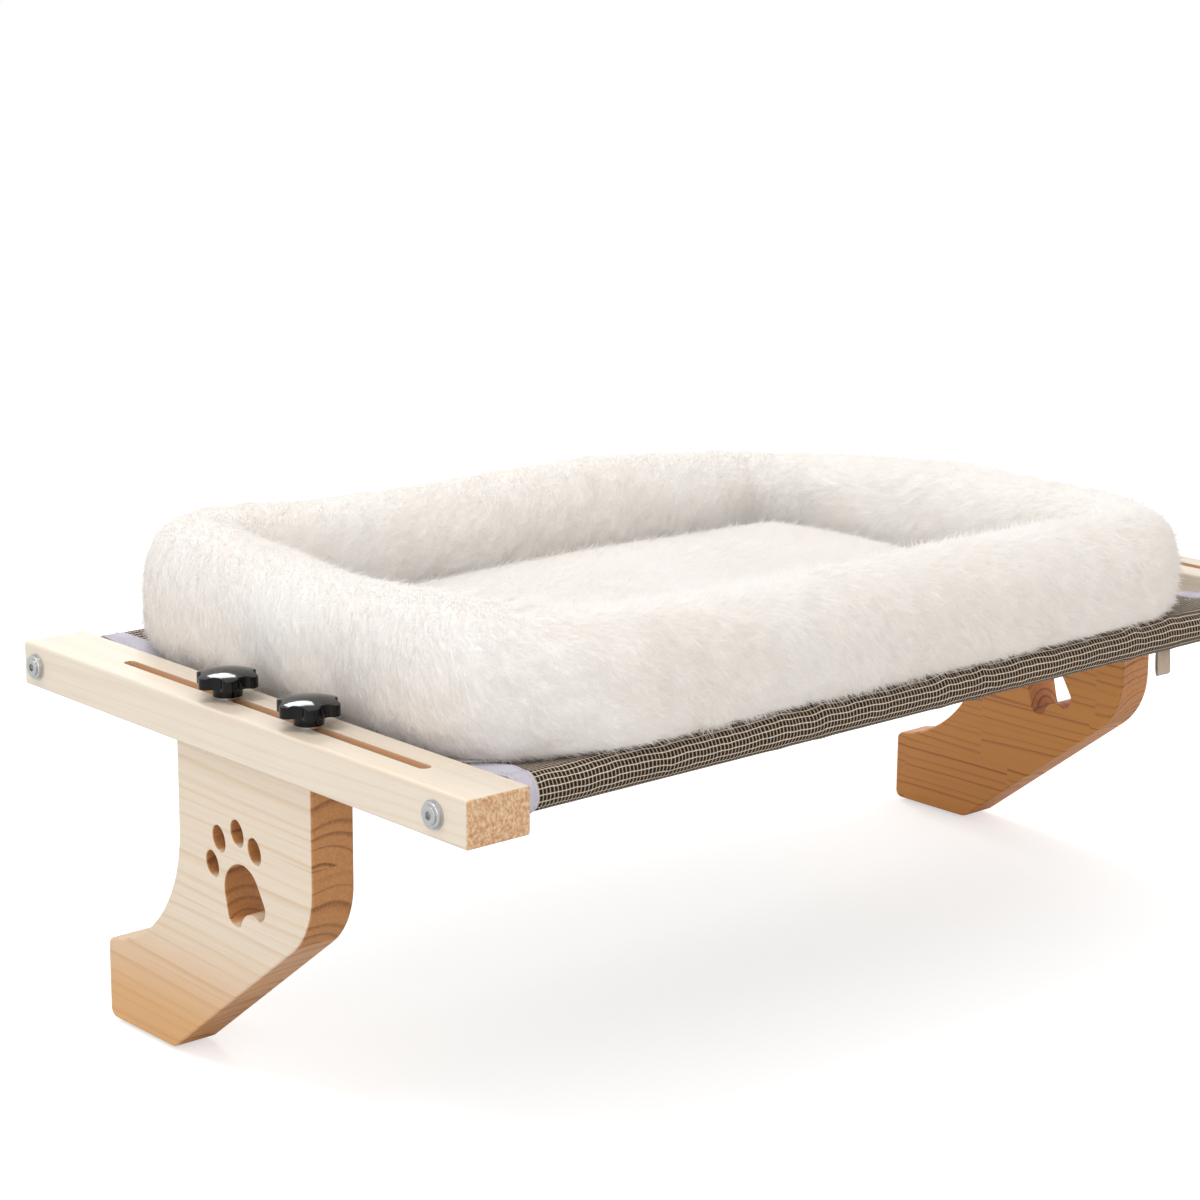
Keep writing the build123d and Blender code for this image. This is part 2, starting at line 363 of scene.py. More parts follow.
@dataclass(frozen=True)
class Finish:
    """A real surface finish, made once as a material and shared by its pieces."""

    name: str

    def coat(self, tree: Tree, shader: Any) -> None:
        """Lays the finish's nodes on the shader."""
        raise NotImplementedError

    def material(self) -> bpy.types.Material:
        """Hands out the finish's material, and makes it the first time.

        Returns:
            The material.
        """
        found = bpy.data.materials.get(self.name)
        if found:
            return found
        material = bpy.data.materials.new(self.name)
        material.use_nodes = True
        self.coat(material.node_tree, material.node_tree.nodes["Principled BSDF"])
        return material


@dataclass(frozen=True)
class VarnishedPine(Finish):
    """Planed and sanded pine under clear matt varnish.

    The eye sees cream early wood with faint honey lines along the grain, which runs in Y, and rougher, darker
    end grain with ring arcs and flecks. A glued panel shows its staves as steps in the arcs and the tone.
    """

    early: str
    late: str
    end_early: str
    end_late: str
    heart: Point
    ring: float
    arcs: float
    # painted shade: the darker orange colour of the rail slots' walls, empty for none
    recess_shade: str = ""
    # painted shade: the warmer, darker early wood at the foot, empty for none
    warm: str = ""
    stave: float = 0.0
    stave_length: float = 0.0
    fibre_stretch: Point = (1000.0, 16.0, 1000.0)
    fleck_scale: float = 880.0
    roughness: Span = (0.46, 0.72)
    relief: float = 0.2 * MM
    varnish: float = 0.3
    varnish_roughness: float = 0.35
    wander: float = 0.05
    unevenness: float = 2.2
    stave_shift: Point = (0.018, 0.6, 0.022)
    stave_tone: Span = (0.8, 1.2)
    foot_shade_from: float = -0.09
    foot_shade_to: float = -0.165
    slot_margin: float = 1.2 * MM
    slot_depth: float = 0.3 * MM

    def coat(self, tree: Tree, shader: Any) -> None:
        """Lays rings, fibres, staves and end grain on the shader.

        Args:
            tree: The material's node tree.
            shader: Its Principled shader.
        """
        place, tone, early = self.mirrored(coordinates(tree)), 1.0, linear(self.early)
        if self.stave:
            # Painted shade: the early wood turns warmer and darker towards the foot.
            early = self.shaded_to_foot(place)
            place, tone = self.staves(place)
        rings = self.rings(place)
        colour = rings.blend(early, linear(self.late), blend_type="MULTIPLY")
        # Painted shade: the walls of the rail's slots turn darker and more orange, as in the recess's shade.
        if self.recess_shade:
            colour = self.shaded_recess_walls(place, colour)
        # Fibres are about 1 mm apart here, coarser than real pine, so that they still show in a render.
        fibre = place.vector("MULTIPLY", self.fibre_stretch).noise(1.0, 2.0)
        colour = colour.scaled(fibre.span(0.25, 0.75, 0.95, 1.03))
        end = coordinates(tree, "Normal").parts()[1].math("ABSOLUTE").eased(0.3, 0.75)
        flecks = place.vector("MULTIPLY", (1.0, 1.0, 0.7)).noise(self.fleck_scale, 4.0)
        height = fibre.math("MULTIPLY_ADD", 0.5, rings)
        height = end.into(MIX, {2: height, 3: flecks * 3.0})
        looks = {
            "Base Color": end.blend(colour, self.end_grain(rings, flecks, tone)),
            "Roughness": end.ramp(self.roughness),
            "Normal": height.bump(0.35, self.relief),
            "Coat Weight": self.varnish,
            "Coat Roughness": self.varnish_roughness,
        }
        feed(shader, looks)

    @staticmethod
    def mirrored(place: Wire) -> Wire:
        """Folds the place about the middle of the bed, so that one heart serves both sides."""
        x, y, z = place.parts()
        return x.math("ABSOLUTE").joined(y, z)

    @staticmethod
    def drawn(number: Wire) -> Wire:
        """Draws one value from 0 to 1 for each whole number."""
        return made(number.tree, CHANCE, {"W": number}, "Value", noise_dimensions="1D")

    def rings(self, place: Wire) -> Wire:
        """Draws the late wood of each year's ring, thin, uneven and of changing strength.

        Args:
            place: The place on the piece.

        Returns:
            The late wood's share, from 0 to 1.
        """
        warp = place.vector("MULTIPLY", (9.0, 1.3, 9.0)).noise(1.0, 2.0)
        flat = place.vector("SUBTRACT", self.heart).vector("MULTIPLY", (1.0, 0.0, 1.0))
        warped = warp.math("MULTIPLY_ADD", self.wander, flat.vector("LENGTH", out="Value"))
        noise = {"W": warped, "Scale": 70.0, "Detail": 1.0}
        uneven = made(warped.tree, NOISE, noise, "Fac", noise_dimensions="1D")
        turns = uneven.math("MULTIPLY_ADD", self.unevenness, warped / self.ring)
        part, year = turns.math("FRACT"), turns.math("FLOOR")
        late = part.eased(0.55, 0.86) * part.eased(1.0, 0.88)
        drift = place.vector("MULTIPLY", (20.0, 4.0, 20.0)).noise(1.0, 3.0)
        rank = self.drawn(year)
        return late * (rank * drift).span(0.0, 0.5, 0.1, 1.0)

    def end_grain(self, rings: Wire, flecks: Wire, tone: Any) -> Wire:
        """Colours the sawn ends, where the eye sees ring arcs and torn flecks."""
        share = flecks.span(0.35, 0.66).math("MULTIPLY_ADD", 1.0 - self.arcs, rings * self.arcs)
        return share.blend(linear(self.end_early), linear(self.end_late)).scaled(tone)

    def shaded_recess_walls(self, place: Wire, colour: Wire) -> Wire:
        """Paints shade on the walls of the rail's slots, which turn a darker orange than the varnished faces.

        Args:
            place: The place on the piece.
            colour: The varnished colour.

        Returns:
            The new colour.
        """
        x, _, z = place.parts()
        stud_low, stud_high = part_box("right_front_stud")
        _, rail_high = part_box("right_rail")
        middle, half = (stud_low.x + stud_high.x) / 2, (stud_high.x - stud_low.x) / 2
        beside = (x - middle).math("ABSOLUTE").math("LESS_THAN", half + self.slot_margin)
        below = z.math("LESS_THAN", rail_high.z - self.slot_depth)
        return (beside * below).blend(colour, linear(self.recess_shade))

    def shaded_to_foot(self, place: Wire) -> Wire:
        """Paints shade towards the foot, where the early wood turns warmer and darker."""
        foot = place.parts()[2].eased(self.foot_shade_from, self.foot_shade_to)
        return foot.blend(linear(self.early), linear(self.warm))

    def staves(self, place: Wire) -> tuple[Wire, Wire]:
        """Shifts the pattern from stave to stave of a glued panel.

        Args:
            place: The place on the piece.

        Returns:
            The shifted place, and the stave's tone on the sawn ends.
        """
        x, y, z = place.parts()
        turn = z / self.stave
        layer, along = turn.math("FLOOR"), 0.0
        if self.stave_length:
            along = (y / self.stave_length + self.drawn(layer)).math("FLOOR")
        cell = add(place.tree, CHANCE, {"Vector": layer.joined(along)}, noise_dimensions="2D").outputs
        middle = Wire(cell["Color"]).vector("SUBTRACT", (0.5, 0.5, 0.5))
        shift = middle.vector("MULTIPLY", self.stave_shift)
        local = turn.math("FRACT") * self.stave
        return x.joined(y, local).vector("ADD", shift), Wire(cell["Value"]).ramp(self.stave_tone)


@dataclass(frozen=True)
class GlossAbs(Finish):
    """Black ABS from a polished mould. The eye sees sharp white highlights over a slightly wavy skin."""

    colour: str = "060607"
    gloss: float = 0.3
    roughness: Span = (0.05, 0.12)
    relief: float = 0.12 * MM

    def coat(self, tree: Tree, shader: Any) -> None:
        """Lays the black, the polish and the moulding's slight waviness on the shader.

        Args:
            tree: The material's node tree.
            shader: Its Principled shader.
        """
        place = coordinates(tree)
        looks = {
            "Base Color": linear(self.colour),
            "IOR": 1.5,
            "Specular IOR Level": self.gloss,
            "Roughness": place.noise(900.0, 3.0).ramp(self.roughness, 0.4, 0.8),
            "Normal": place.noise(260.0, 1.0).bump(0.25, self.relief),
        }
        feed(shader, looks)


@dataclass(frozen=True)
class BrightMetal(Finish):
    """Steel or brass, plated or bare. The eye sees a silky metal with fine, uneven brightness."""

    colour: str
    roughness: Span = (0.22, 0.42)
    tarnish: float = 0.86
    relief: float = 0.05 * MM

    def coat(self, tree: Tree, shader: Any) -> None:
        """Lays the metal and its uneven polish on the shader.

        Args:
            tree: The material's node tree.
            shader: Its Principled shader.
        """
        patch = coordinates(tree).noise(420.0, 4.0)
        shade = patch.span(0.3, 0.7, 1.0, self.tarnish)
        looks = {
            "Base Color": shade.tinting(self.colour),
            "Metallic": 1.0,
            "Roughness": patch.ramp(self.roughness, 0.3, 0.7),
            "Normal": patch.bump(0.2, self.relief),
        }
        feed(shader, looks)


@dataclass(frozen=True)
class PowderCoat(Finish):
    """Grey polyester powder baked on steel tube. The eye sees a satin skin with fine orange peel."""

    colour: str
    roughness: Span = (0.36, 0.5)
    relief: float = 0.1 * MM

    def coat(self, tree: Tree, shader: Any) -> None:
        """Lays the paint and its orange peel on the shader.

        Args:
            tree: The material's node tree.
            shader: Its Principled shader.
        """
        peel = coordinates(tree).noise(700.0, 2.0)
        looks = {
            "Base Color": linear(self.colour),
            "Roughness": peel.ramp(self.roughness, 0.3, 0.7),
            "Normal": peel.bump(0.3, self.relief),
        }
        feed(shader, looks)


@dataclass(frozen=True)
class CoatedMesh(Finish):
    """Open-weave mesh of vinyl-coated polyester yarn.

    The eye sees thin pale threads along the rods that pass over and under tan ribs, and between them upright
    openings painted near black as the shade seen through them. The pattern reads the sling's own UV map, in
    metres of cloth.
    """

    across: float = 2.42 * MM
    along: float = 3.2 * MM
    pull: float = 3.6 * MM
    pale: str = "F6E4D0"
    tan: str = "B0967A"
    # painted shade seen through the openings of the weave
    hole_shade: str = "070403"
    rib_edge: Span = (0.31, 0.39)
    thread_edge: Span = (0.37, 0.46)
    dip: float = 0.72
    tone: Span = (0.88, 1.04)
    relief: float = 0.5 * MM

    def coat(self, tree: Tree, shader: Any) -> None:
        """Lays the threads, the ribs, painted shade in the openings between them, and their height on the
        shader.

        Args:
            tree: The material's node tree.
            shader: Its Principled shader.
        """
        uv = coordinates(tree, "UV")
        spread = uv.noise(45.0, 2.0, "Color").vector("SUBTRACT", (0.5, 0.5, 0.5))
        u, v, _ = spread.vector("MULTIPLY_ADD", (self.pull,) * 3, uv).parts()
        u, v = u / self.across, v / self.along
        off_u, off_v = ((turn.math("FRACT") - 0.5).math("ABSOLUTE") for turn in (u, v))
        rib = off_u.eased(*self.rib_edge)
        wave = ((u + (v + 0.5).math("FLOOR")) * math.pi).math("COSINE")
        thread = off_v.eased(*self.thread_edge) * wave.span(-1.0, 1.0, self.dip, 1.0)
        height = thread.math("MAXIMUM", rib * 0.7)
        # Painted shade: the openings between ribs and threads are coloured near black.
        colour = thread.blend(rib.blend(linear(self.hole_shade), linear(self.tan)), linear(self.pale))
        looks = {
            "Base Color": colour.scaled(uv.noise(9.0, 3.0).ramp(self.tone, 0.3, 0.7)),
            "Roughness": height.span(start=0.9, stop=0.5),
            "Normal": height.bump(0.9, self.relief),
        }
        feed(shader, looks)


@dataclass(frozen=True)
class WovenTape(Finish):
    """Plain-woven polyester tape or backing cloth. The eye sees a soft, slightly ribbed, matt ribbon.

    The ribs are drawn about 1 mm apart, coarser than the real yarn, so that they show in a render.
    """

    colour: str
    shadow: str
    rib: float = 1.0 * MM
    relief: float = 0.2 * MM

    def coat(self, tree: Tree, shader: Any) -> None:
        """Lays the crossing ribs and the tape's uneven tone on the shader.

        Args:
            tree: The material's node tree.
            shader: Its Principled shader.
        """
        uv = coordinates(tree, "UV")
        warp, weft = ((way * (math.tau / self.rib)).math("COSINE") for way in uv.parts()[:2])
        weave = warp * weft
        share = weave.math("MULTIPLY_ADD", 0.18, uv.noise(60.0, 3.0)).span(0.2, 0.8)
        looks = {
            "Base Color": share.blend(linear(self.shadow), linear(self.colour)),
            "Roughness": 0.85,
            "Sheen Weight": 0.2,
            "Normal": weave.bump(0.5, self.relief),
        }
        feed(shader, looks)


@dataclass(frozen=True)
class PlushPile(Finish):
    """White polyester faux-rabbit pile. The eye sees bright soft hairs that differ slightly in tone."""

    pale: str = "FFFEFD"
    warm: str = "FBF6F0"
    through: float = 0.45

    def coat(self, tree: Tree, shader: Any) -> None:
        """Lays each hair's own tone on the shader, and lets some light through the hair.

        Args:
            tree: The material's node tree.
            shader: Its Principled shader.
        """
        tone = made(tree, "ShaderNodeAttribute", out="Fac", attribute_name="tone")
        share = (tone * coordinates(tree).noise(14.0, 2.0)).span(0.05, 0.6)
        colour = share.blend(linear(self.pale), linear(self.warm))
        looks = {
            "Base Color": colour,
            "Roughness": 0.9,
            "Specular IOR Level": 0.15,
            "Sheen Weight": 0.3,
            "Sheen Roughness": 0.6,
        }
        feed(shader, looks)
        lit = colour.into("ShaderNodeBsdfTranslucent")
        both = made(tree, "ShaderNodeMixShader", {0: self.through, 1: shader.outputs[0], 2: lit})
        feed(tree.nodes["Material Output"], {"Surface": both})


@dataclass(frozen=True)
class PileGround(Finish):
    """The knitted ground that the pile stands in. The eye sees it only as a warm white between the hairs."""

    colour: str = "FCF9F5"
    relief: float = 0.5 * MM

    def coat(self, tree: Tree, shader: Any) -> None:
        """Lays the ground's white and its loops on the shader.

        Args:
            tree: The material's node tree.
            shader: Its Principled shader.
        """
        loops = coordinates(tree).noise(800.0, 2.0)
        shade = loops.span(0.3, 0.7, 0.9, 1.02)
        looks = {
            "Base Color": shade.tinting(self.colour),
            "Roughness": 0.95,
            "Normal": loops.bump(0.5, self.relief),
        }
        feed(shader, looks)


@dataclass(frozen=True)
class FloorPaint(Finish):
    """Flat white paint. The eye sees a plain pale floor that glows a little towards the camera."""

    colour: str = "DEDEDE"
    glow: float = 0.56

    def coat(self, tree: Tree, shader: Any) -> None:
        """Lays the white and its glow on the shader.

        Args:
            tree: The material's node tree.
            shader: Its Principled shader.
        """
        seen = made(tree, "ShaderNodeLightPath", out="Is Camera Ray")
        looks = {
            "Base Color": linear(self.colour),
            "Roughness": 0.9,
            "Emission Color": linear("FFFFFF"),
            "Emission Strength": seen * self.glow,
        }
        feed(shader, looks)


PANEL_HEART = (0.318, 0.0, -0.012)
RAIL_PINE = VarnishedPine(
    "rail pine, varnished",
    early="EADCC9",
    late="F6EFE3",
    end_early="EBC9A2",
    end_late="B57C4A",
    heart=(0.36, 0.0, 0.10),
    ring=5.5 * MM,
    arcs=0.2,
    # painted shade on the walls of the rail's slots
    recess_shade="E0B48B",
)
PALE_PANEL = VarnishedPine(
    "bracket pine panel, varnished",
    early="E7D6C0",
    late="F3E8D7",
    end_early="CB8F55",
    end_late="74401C",
    heart=PANEL_HEART,
    ring=7.5 * MM,
    arcs=0.75,
    # painted shade towards the foot
    warm="D9A76D",
    stave=44 * MM,
)
# Painted shade: the right bracket's pine is coloured darker and more orange, as it looks in the bed's shadow.
SHADED_PANEL = VarnishedPine(
    "bracket pine panel, deeper stock",
    early="EFA24C",
    late="CDB1A0",
    end_early="D8955A",
    end_late="75421D",
    heart=PANEL_HEART,
    ring=5.0 * MM,
    arcs=0.75,
    # painted shade towards the foot
    warm="DE9548",
    stave=44 * MM,
    stave_length=90 * MM,
)
KNOB_ABS = GlossAbs("knob black ABS, moulded")
ZINC = BrightMetal("bolt steel, bright zinc plate", "CFD0D0")
BRASS = BrightMetal("insert brass, turned", "C9A65E")
ROD_COAT = PowderCoat("rod steel, grey powder coat", "9B9996")
PLUG_STEEL = BrightMetal("plug steel, drawn", "A9A8A5", (0.35, 0.5))
SLING_MESH = CoatedMesh("sling mesh, coated weave")
BINDING = WovenTape("binding tape, woven", "DCD8E2", "BDB7C6")
TAB_TAPE = WovenTape("tab tape, woven", "D9C9B8", "A8937E")
THREAD = WovenTape("sewing thread, spun", "CFCAD4", "9F99A8", 0.6 * MM)
UNDERSIDE_CLOTH = WovenTape("bed underside cloth, woven", "DDD8D0", "BDB6AB", 1.4 * MM)
PILE = PlushPile("plush pile, white")
GROUND = PileGround("plush ground, knitted")
FLOOR_PAINT = FloorPaint("studio floor, white paint")


@dataclass
class Hardware:
    """The rigid pieces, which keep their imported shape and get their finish."""

    left_panel: Finish = PALE_PANEL
    # painted shade: the right bracket takes the darker, shaded copy of the panel pine
    right_panel: Finish = SHADED_PANEL

    def finishes(self) -> dict[str, Finish]:
        """Lists what every rigid node is made of.

        Returns:
            Each node's finish by the node's name.
        """
        ends = ("front", "rear")
        listed = {"left_bracket": self.left_panel, "right_bracket": self.right_panel}
        for word in (side.word for side in Side):
            listed |= {f"{word}_rail": RAIL_PINE, f"{word}_bracket_inserts": BRASS}
            listed |= {f"{word}_frame_{part}": ZINC for part in ("bolts", "washers")}
            listed |= {f"{word}_{end}_knob": KNOB_ABS for end in ends}
            listed |= {f"{word}_{end}_{part}": ZINC for end in ends for part in ("knob_washer", "stud")}
        for end in ends:
            listed |= {f"{end}_rod": ROD_COAT, f"{end}_rod_plugs": PLUG_STEEL}
        return listed

    def dress(self) -> None:
        """Gives every rigid node its finish."""
        finishes = self.finishes()
        for name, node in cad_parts.items():
            if name in finishes:
                node.data.materials.clear()
                node.data.materials.append(finishes[name].material())
                log.info("%s: %s", name, finishes[name].name)


def run_along(line: Array) -> Array:
    """Measures how far along a line each of its points lies."""
    return np.concatenate([[0], np.cumsum(np.linalg.norm(np.diff(line, axis=0), axis=1))])


def even(line: Array, step: float) -> Array:
    """Spaces points evenly along a line.

    Args:
        line: The line's points, one a row.
        step: About how far apart the new points are.

    Returns:
        The new points.
    """
    reach = run_along(line)
    places = np.linspace(0, reach[-1], max(3, round(reach[-1] / step)))
    return np.column_stack([np.interp(places, reach, column) for column in line.T])


def sheet_places(across: Array, line: Array) -> tuple[Array, Array, Array]:
    """Lists the X, Y and Z of a sheet whose columns lie across and whose rows follow a line in Y and Z."""
    return (*np.meshgrid(across, line[:, 0]), np.repeat(line[:, 1:], len(across), axis=1))


def sheet_uv(across: Array, along: Array) -> Array:
    """Lists the places in the cloth of a grid's vertices, which run row by row."""
    return np.column_stack([np.tile(across, len(along)), np.repeat(along, len(across))])


def face_out(piece: Piece) -> None:
    """Turns a piece's faces so that they point outwards.

    Args:
        piece: The piece.
    """
    work = bmesh.new()
    work.from_mesh(piece.data)
    bmesh.ops.recalc_face_normals(work, faces=work.faces)
    work.to_mesh(piece.data)
    work.free()


def make_cloth(piece: Piece, uv: Array, thickness: float, finish: Finish) -> None:
    """Makes a thin sheet into cloth, with a UV map in metres, a thickness and a finish.

    Args:
        piece: The sheet.
        uv: The place in the cloth of each vertex.
        thickness: The cloth's thickness, half to each side.
        finish: What it is made of.
    """
    mesh = piece.data
    corners = np.zeros(len(mesh.loops), int)
    mesh.loops.foreach_get("vertex_index", corners)
    mesh.uv_layers.new(name="cloth").data.foreach_set("uv", np.asarray(uv, np.float32)[corners].ravel())
    solid = piece.modifiers.new("thickness", "SOLIDIFY")
    solid.thickness = thickness
    solid.offset = 0.0
    solid.use_even_offset = True
    plain_mesh(piece)
    piece.data.materials.append(finish.material())


def dressed(geometry: Wire, finish: Finish) -> Wire:
    """Turns instances into real geometry with one finish."""
    real = geometry.into("GeometryNodeRealizeInstances")
    return real.into("GeometryNodeSetMaterial", {"Material": finish.material()})


def stitch_tree() -> Tree:
    """Builds the tree that lays short stitches along lines.

    Returns:
        A geometry tree with the inputs Pitch, Length and Width.
    """
    tree = bpy.data.node_groups.get("stitches")
    if tree:
        return tree
    tree, start = node_group("stitches", ("Pitch", "Length", "Width"))
    curve = start["Geometry"].into("GeometryNodeMeshToCurve")
    laid = add(tree, "GeometryNodeCurveToPoints", {0: curve, "Length": start["Pitch"]}, mode="LENGTH").outputs
    bead = {"Segments": 6, "Rings": 5, "Radius": 0.5}
    stitch = {
        "Instance": made(tree, "GeometryNodeMeshUVSphere", bead, "Mesh"),
        "Rotation": made(tree, ALIGN, {"Vector": laid["Tangent"]}, axis="Z"),
        "Scale": start["Width"].joined(start["Width"], start["Length"]),
    }
    placed = Wire(laid["Points"]).into("GeometryNodeInstanceOnPoints", stitch)
    add(tree, "NodeGroupOutput", {"Geometry": dressed(placed, THREAD)})
    return tree


@dataclass
class Sling:
    """The mesh sling: a deck between two sleeves, taped along its short ends."""

    cloth: float = 0.8 * MM
    step: float = 4.0 * MM
    bed_gap: float = 0.7 * MM
    sleeve_gap: float = 0.2 * MM
    sleeve_turns: Span = (-62.0, -262.0)
    seam_inset: float = 26 * MM
    seam_lap: float = 1.3
    seam_half: float = 1.5 * MM
    pucker: float = 0.9 * MM
    pucker_pitch: float = 41 * MM
    pucker_reach: float = 9 * MM
    gather: float = 3.6 * MM
    gather_pitch: float = 33 * MM
    gather_reach: float = 8 * MM
    under_bulge: float = 0.25
    pull: float = 13 * MM
    pull_reach: float = 21 * MM
    pull_edge: float = 0.35
    tape: float = 0.4 * MM
    tape_ease: float = 0.25 * MM
    tape_tuck: float = 0.6 * MM
    tape_swells: Span = (0.12 * MM, 0.1 * MM)
    tab_thickness: float = 0.35 * MM
    stitch_pitch: float = 4.2 * MM
    stitch_length: float = 2.8 * MM
    stitch_width: float = 0.5 * MM
    stitch_inset: float = 2.0 * MM
    stitch_rise: float = 0.32 * MM
    seam_stitch_rise: float = 0.1 * MM
    gather_back: float = 1 * MM
    gather_span: Span = (-0.25, 0.05)
    flat_margin: float = 12 * MM
    sleeve_margin: float = 6 * MM
    tape_lap: float = 3 * MM
    tape_inset: float = 4 * MM
    tab_half: float = 0.55 * MM
    tab_step: float = 1.2 * MM
    tab_curl: float = 0.9 * MM
    tab_wave: float = 0.25 * MM

    def __post_init__(self) -> None:
        """Reads the rods and the sling's reach from the frame."""
        self.low, self.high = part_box("sling")
        front_low, front_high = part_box("front_rod")
        rear_low, rear_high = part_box("rear_rod")
        self.rod_z = (front_high.z + front_low.z) / 2
        self.front_y = (front_low.y + front_high.y) / 2
        self.rear_y = (rear_low.y + rear_high.y) / 2
        self.middle_y = (self.front_y + self.rear_y) / 2
        self.seams = (self.front_y + self.seam_inset, self.rear_y - self.seam_inset)
        self.sleeve = (front_high.z - front_low.z) / 2 + self.sleeve_gap + self.cloth / 2
        tape_low, tape_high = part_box("left_sling_binding")
        self.tape_width = tape_high.x - tape_low.x
        bed_low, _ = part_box("bed_underside")
        deck = bed_low.z - self.bed_gap - self.cloth / 2
        drop = self.rod_z + self.sleeve - deck
        self.radius = ((self.rear_y - self.middle_y) ** 2 + drop**2) / (2 * drop)
        self.centre_z = deck + self.radius

    def deck_z(self, y: Any) -> Any:
        """The height of the cloth's middle at a place across the rods."""
        return self.centre_z - np.sqrt(self.radius**2 - (np.asarray(y) - self.middle_y) ** 2)

    def deck(self, start: float, stop: float, count: int, lift: float = 0.0) -> Array:
        """Follows the deck from one place across the rods to another, in Y and Z."""
        y = np.linspace(start, stop, count)
        return np.column_stack([y, self.deck_z(y) + lift])

    def inward(self, x: Array) -> Array:
        """How far places along the rods lie from the nearer end of the cloth."""
        return np.minimum(x - self.low.x, self.high.x - x)

    def edge(self, side: Side) -> float:
        """Where the cloth ends on a side."""
        return self.high.x if side is Side.RIGHT else self.low.x

    def arc(self, y: float, radius: float, turns: Span, count: int, toward: int = 1) -> Array:
        """Follows a circle round a rod in Y and Z, from one turn to another, or its mirror image for -1."""
        angle = np.radians(np.linspace(*turns, count))
        return np.column_stack([y + toward * radius * np.cos(angle), self.rod_z + radius * np.sin(angle)])

    def wrap(self, y: float, toward: int) -> Array:
        """Follows the cloth from a sleeve's seam round its rod to the top.

        Args:
            y: The rod's place.
            toward: +1 for the front rod, whose deck lies towards +Y, and -1 for the rear one.

        Returns:
            Points in Y and Z, from the seam to where the deck starts.
        """
        seam_y = y + toward * self.seam_inset
        seam = np.array([seam_y, self.deck_z(seam_y) - self.seam_lap * self.cloth])
        ring = self.arc(y, self.sleeve, self.sleeve_turns, 26, toward)
        return np.vstack([seam + (ring[0] - seam) * np.linspace(0, 0.9, 9)[:, None], ring])

    def section(self) -> Array:
        """Follows the whole cloth in Y and Z, from the front seam to the rear one, evenly spaced.

        Returns:
            One point a row.
        """
        front, rear = self.wrap(self.front_y, 1), self.wrap(self.rear_y, -1)
        deck = self.deck(front[-1][0] + self.sleeve_margin, rear[-1][0] - self.sleeve_margin, 80)
        return even(np.vstack([front, deck, rear[::-1]]), self.step * 0.6)

    def lift(self, x: Array, y: Array) -> Array:
        """How far the sewn seams gather the cloth up or down.

        Args:
            x: Places along the rods.
            y: Places across them.

        Returns:
            Heights to add to the deck.
        """
        height = np.zeros_like(x)
        for seam, phase in zip(self.seams, (0.4, 2.1)):
            near = np.exp(-(((y - seam) / self.pucker_reach) ** 2))
            wave = np.sin(math.tau * x / self.pucker_pitch + phase + 1.3 * np.sin(x * 19))
            height += self.pucker * near * wave
        ridge = np.sin(math.tau * x / self.gather_pitch + 1.9 * np.sin(x * 13)) * (0.6 + 0.4 * np.sin(x * 47))
        near = np.exp(-(((y - self.front_y + self.gather_back) / self.gather_reach) ** 2))
        height += self.gather * near * np.clip(ridge, 0, 1) ** 2 * smooth(*self.gather_span, x)
        return height * smooth(self.tape_width, self.tape_width + self.flat_margin, self.inward(x))

    def pulled(self, x: Any, y: Any, z: Any) -> Array:
        """Draws places near the ends inwards, where each sleeve's seam gathers the cloth.

        Args:
            x: Places along the rods.
            y: Places across them.
            z: Heights, since the sleeves' undersides aren't drawn in.

        Returns:
            The new places along the rods.
        """
        x, y = np.asarray(x, float), np.asarray(y, float)
        draw = sum(np.exp(-(((y - seam) / self.pull_reach) ** 2)) for seam in self.seams)
        draw = self.pull * draw * smooth(self.rod_z - 3 * self.sleeve, self.rod_z, z)
        full = np.clip(self.inward(x) / self.tape_width, 0, 1)
        draw = draw * (self.pull_edge + (1 - self.pull_edge) * full)
        middle = (self.low.x + self.high.x) / 2
        share = (x - middle) / (self.high.x - middle)
        return x - draw * np.sign(share) * np.abs(share) ** 5

    def cloth_sheet(self) -> Piece:
        """Builds the mesh cloth in one piece, from seam to seam.

        Returns:
            The cloth.
        """
        line = self.section()
        xs = np.linspace(self.low.x, self.high.x, round((self.high.x - self.low.x) / self.step))
        x, y, z = sheet_places(xs, line)
        # The sleeves' undersides bulge a little where the top side rises.
        z = z + np.where(z > self.rod_z - self.sleeve * 0.2, 1.0, -self.under_bulge) * self.lift(x, y)
        faces = [f[::-1] for f in grid_faces(len(line), len(xs))]
        piece = mesh_piece("sling_cloth", np.dstack([self.pulled(x, y, z), y, z]), faces)
        along = run_along(line)
        make_cloth(piece, sheet_uv(xs - self.low.x, along), self.cloth, SLING_MESH)
        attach(piece, Body.FRAME.value)
        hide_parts("sling")
        return piece

    def outline(self) -> tuple[Array, Array]:
        """Follows the sling's closed outer line in Y and Z, a little outside the cloth, for the tape.

        Returns:
            One point a row, and the outward direction at each.
        """
        out = self.cloth / 2 + self.tape_ease
        lap = self.seam_inset + self.tape_lap
        parts = [
            self.arc(self.front_y, self.sleeve + out, (95, 300), 30),
            self.deck(self.front_y + lap, self.rear_y - lap, 50, -out - 0.6 * self.cloth),
            self.arc(self.rear_y, self.sleeve + out, (-120, 85), 30),
            self.deck(self.rear_y - self.tape_inset, self.front_y + self.tape_inset, 60, out),
        ]
        line = even(np.vstack(parts), self.step)
        following = np.roll(line, -1, axis=0) - np.roll(line, 1, axis=0)
        normal = np.column_stack([-following[:, 1], following[:, 0]])
        normal /= np.linalg.norm(normal, axis=1)[:, None]
        inside = ((line - line.mean(axis=0)) * normal).sum() < 0
        return line, -normal if inside else normal

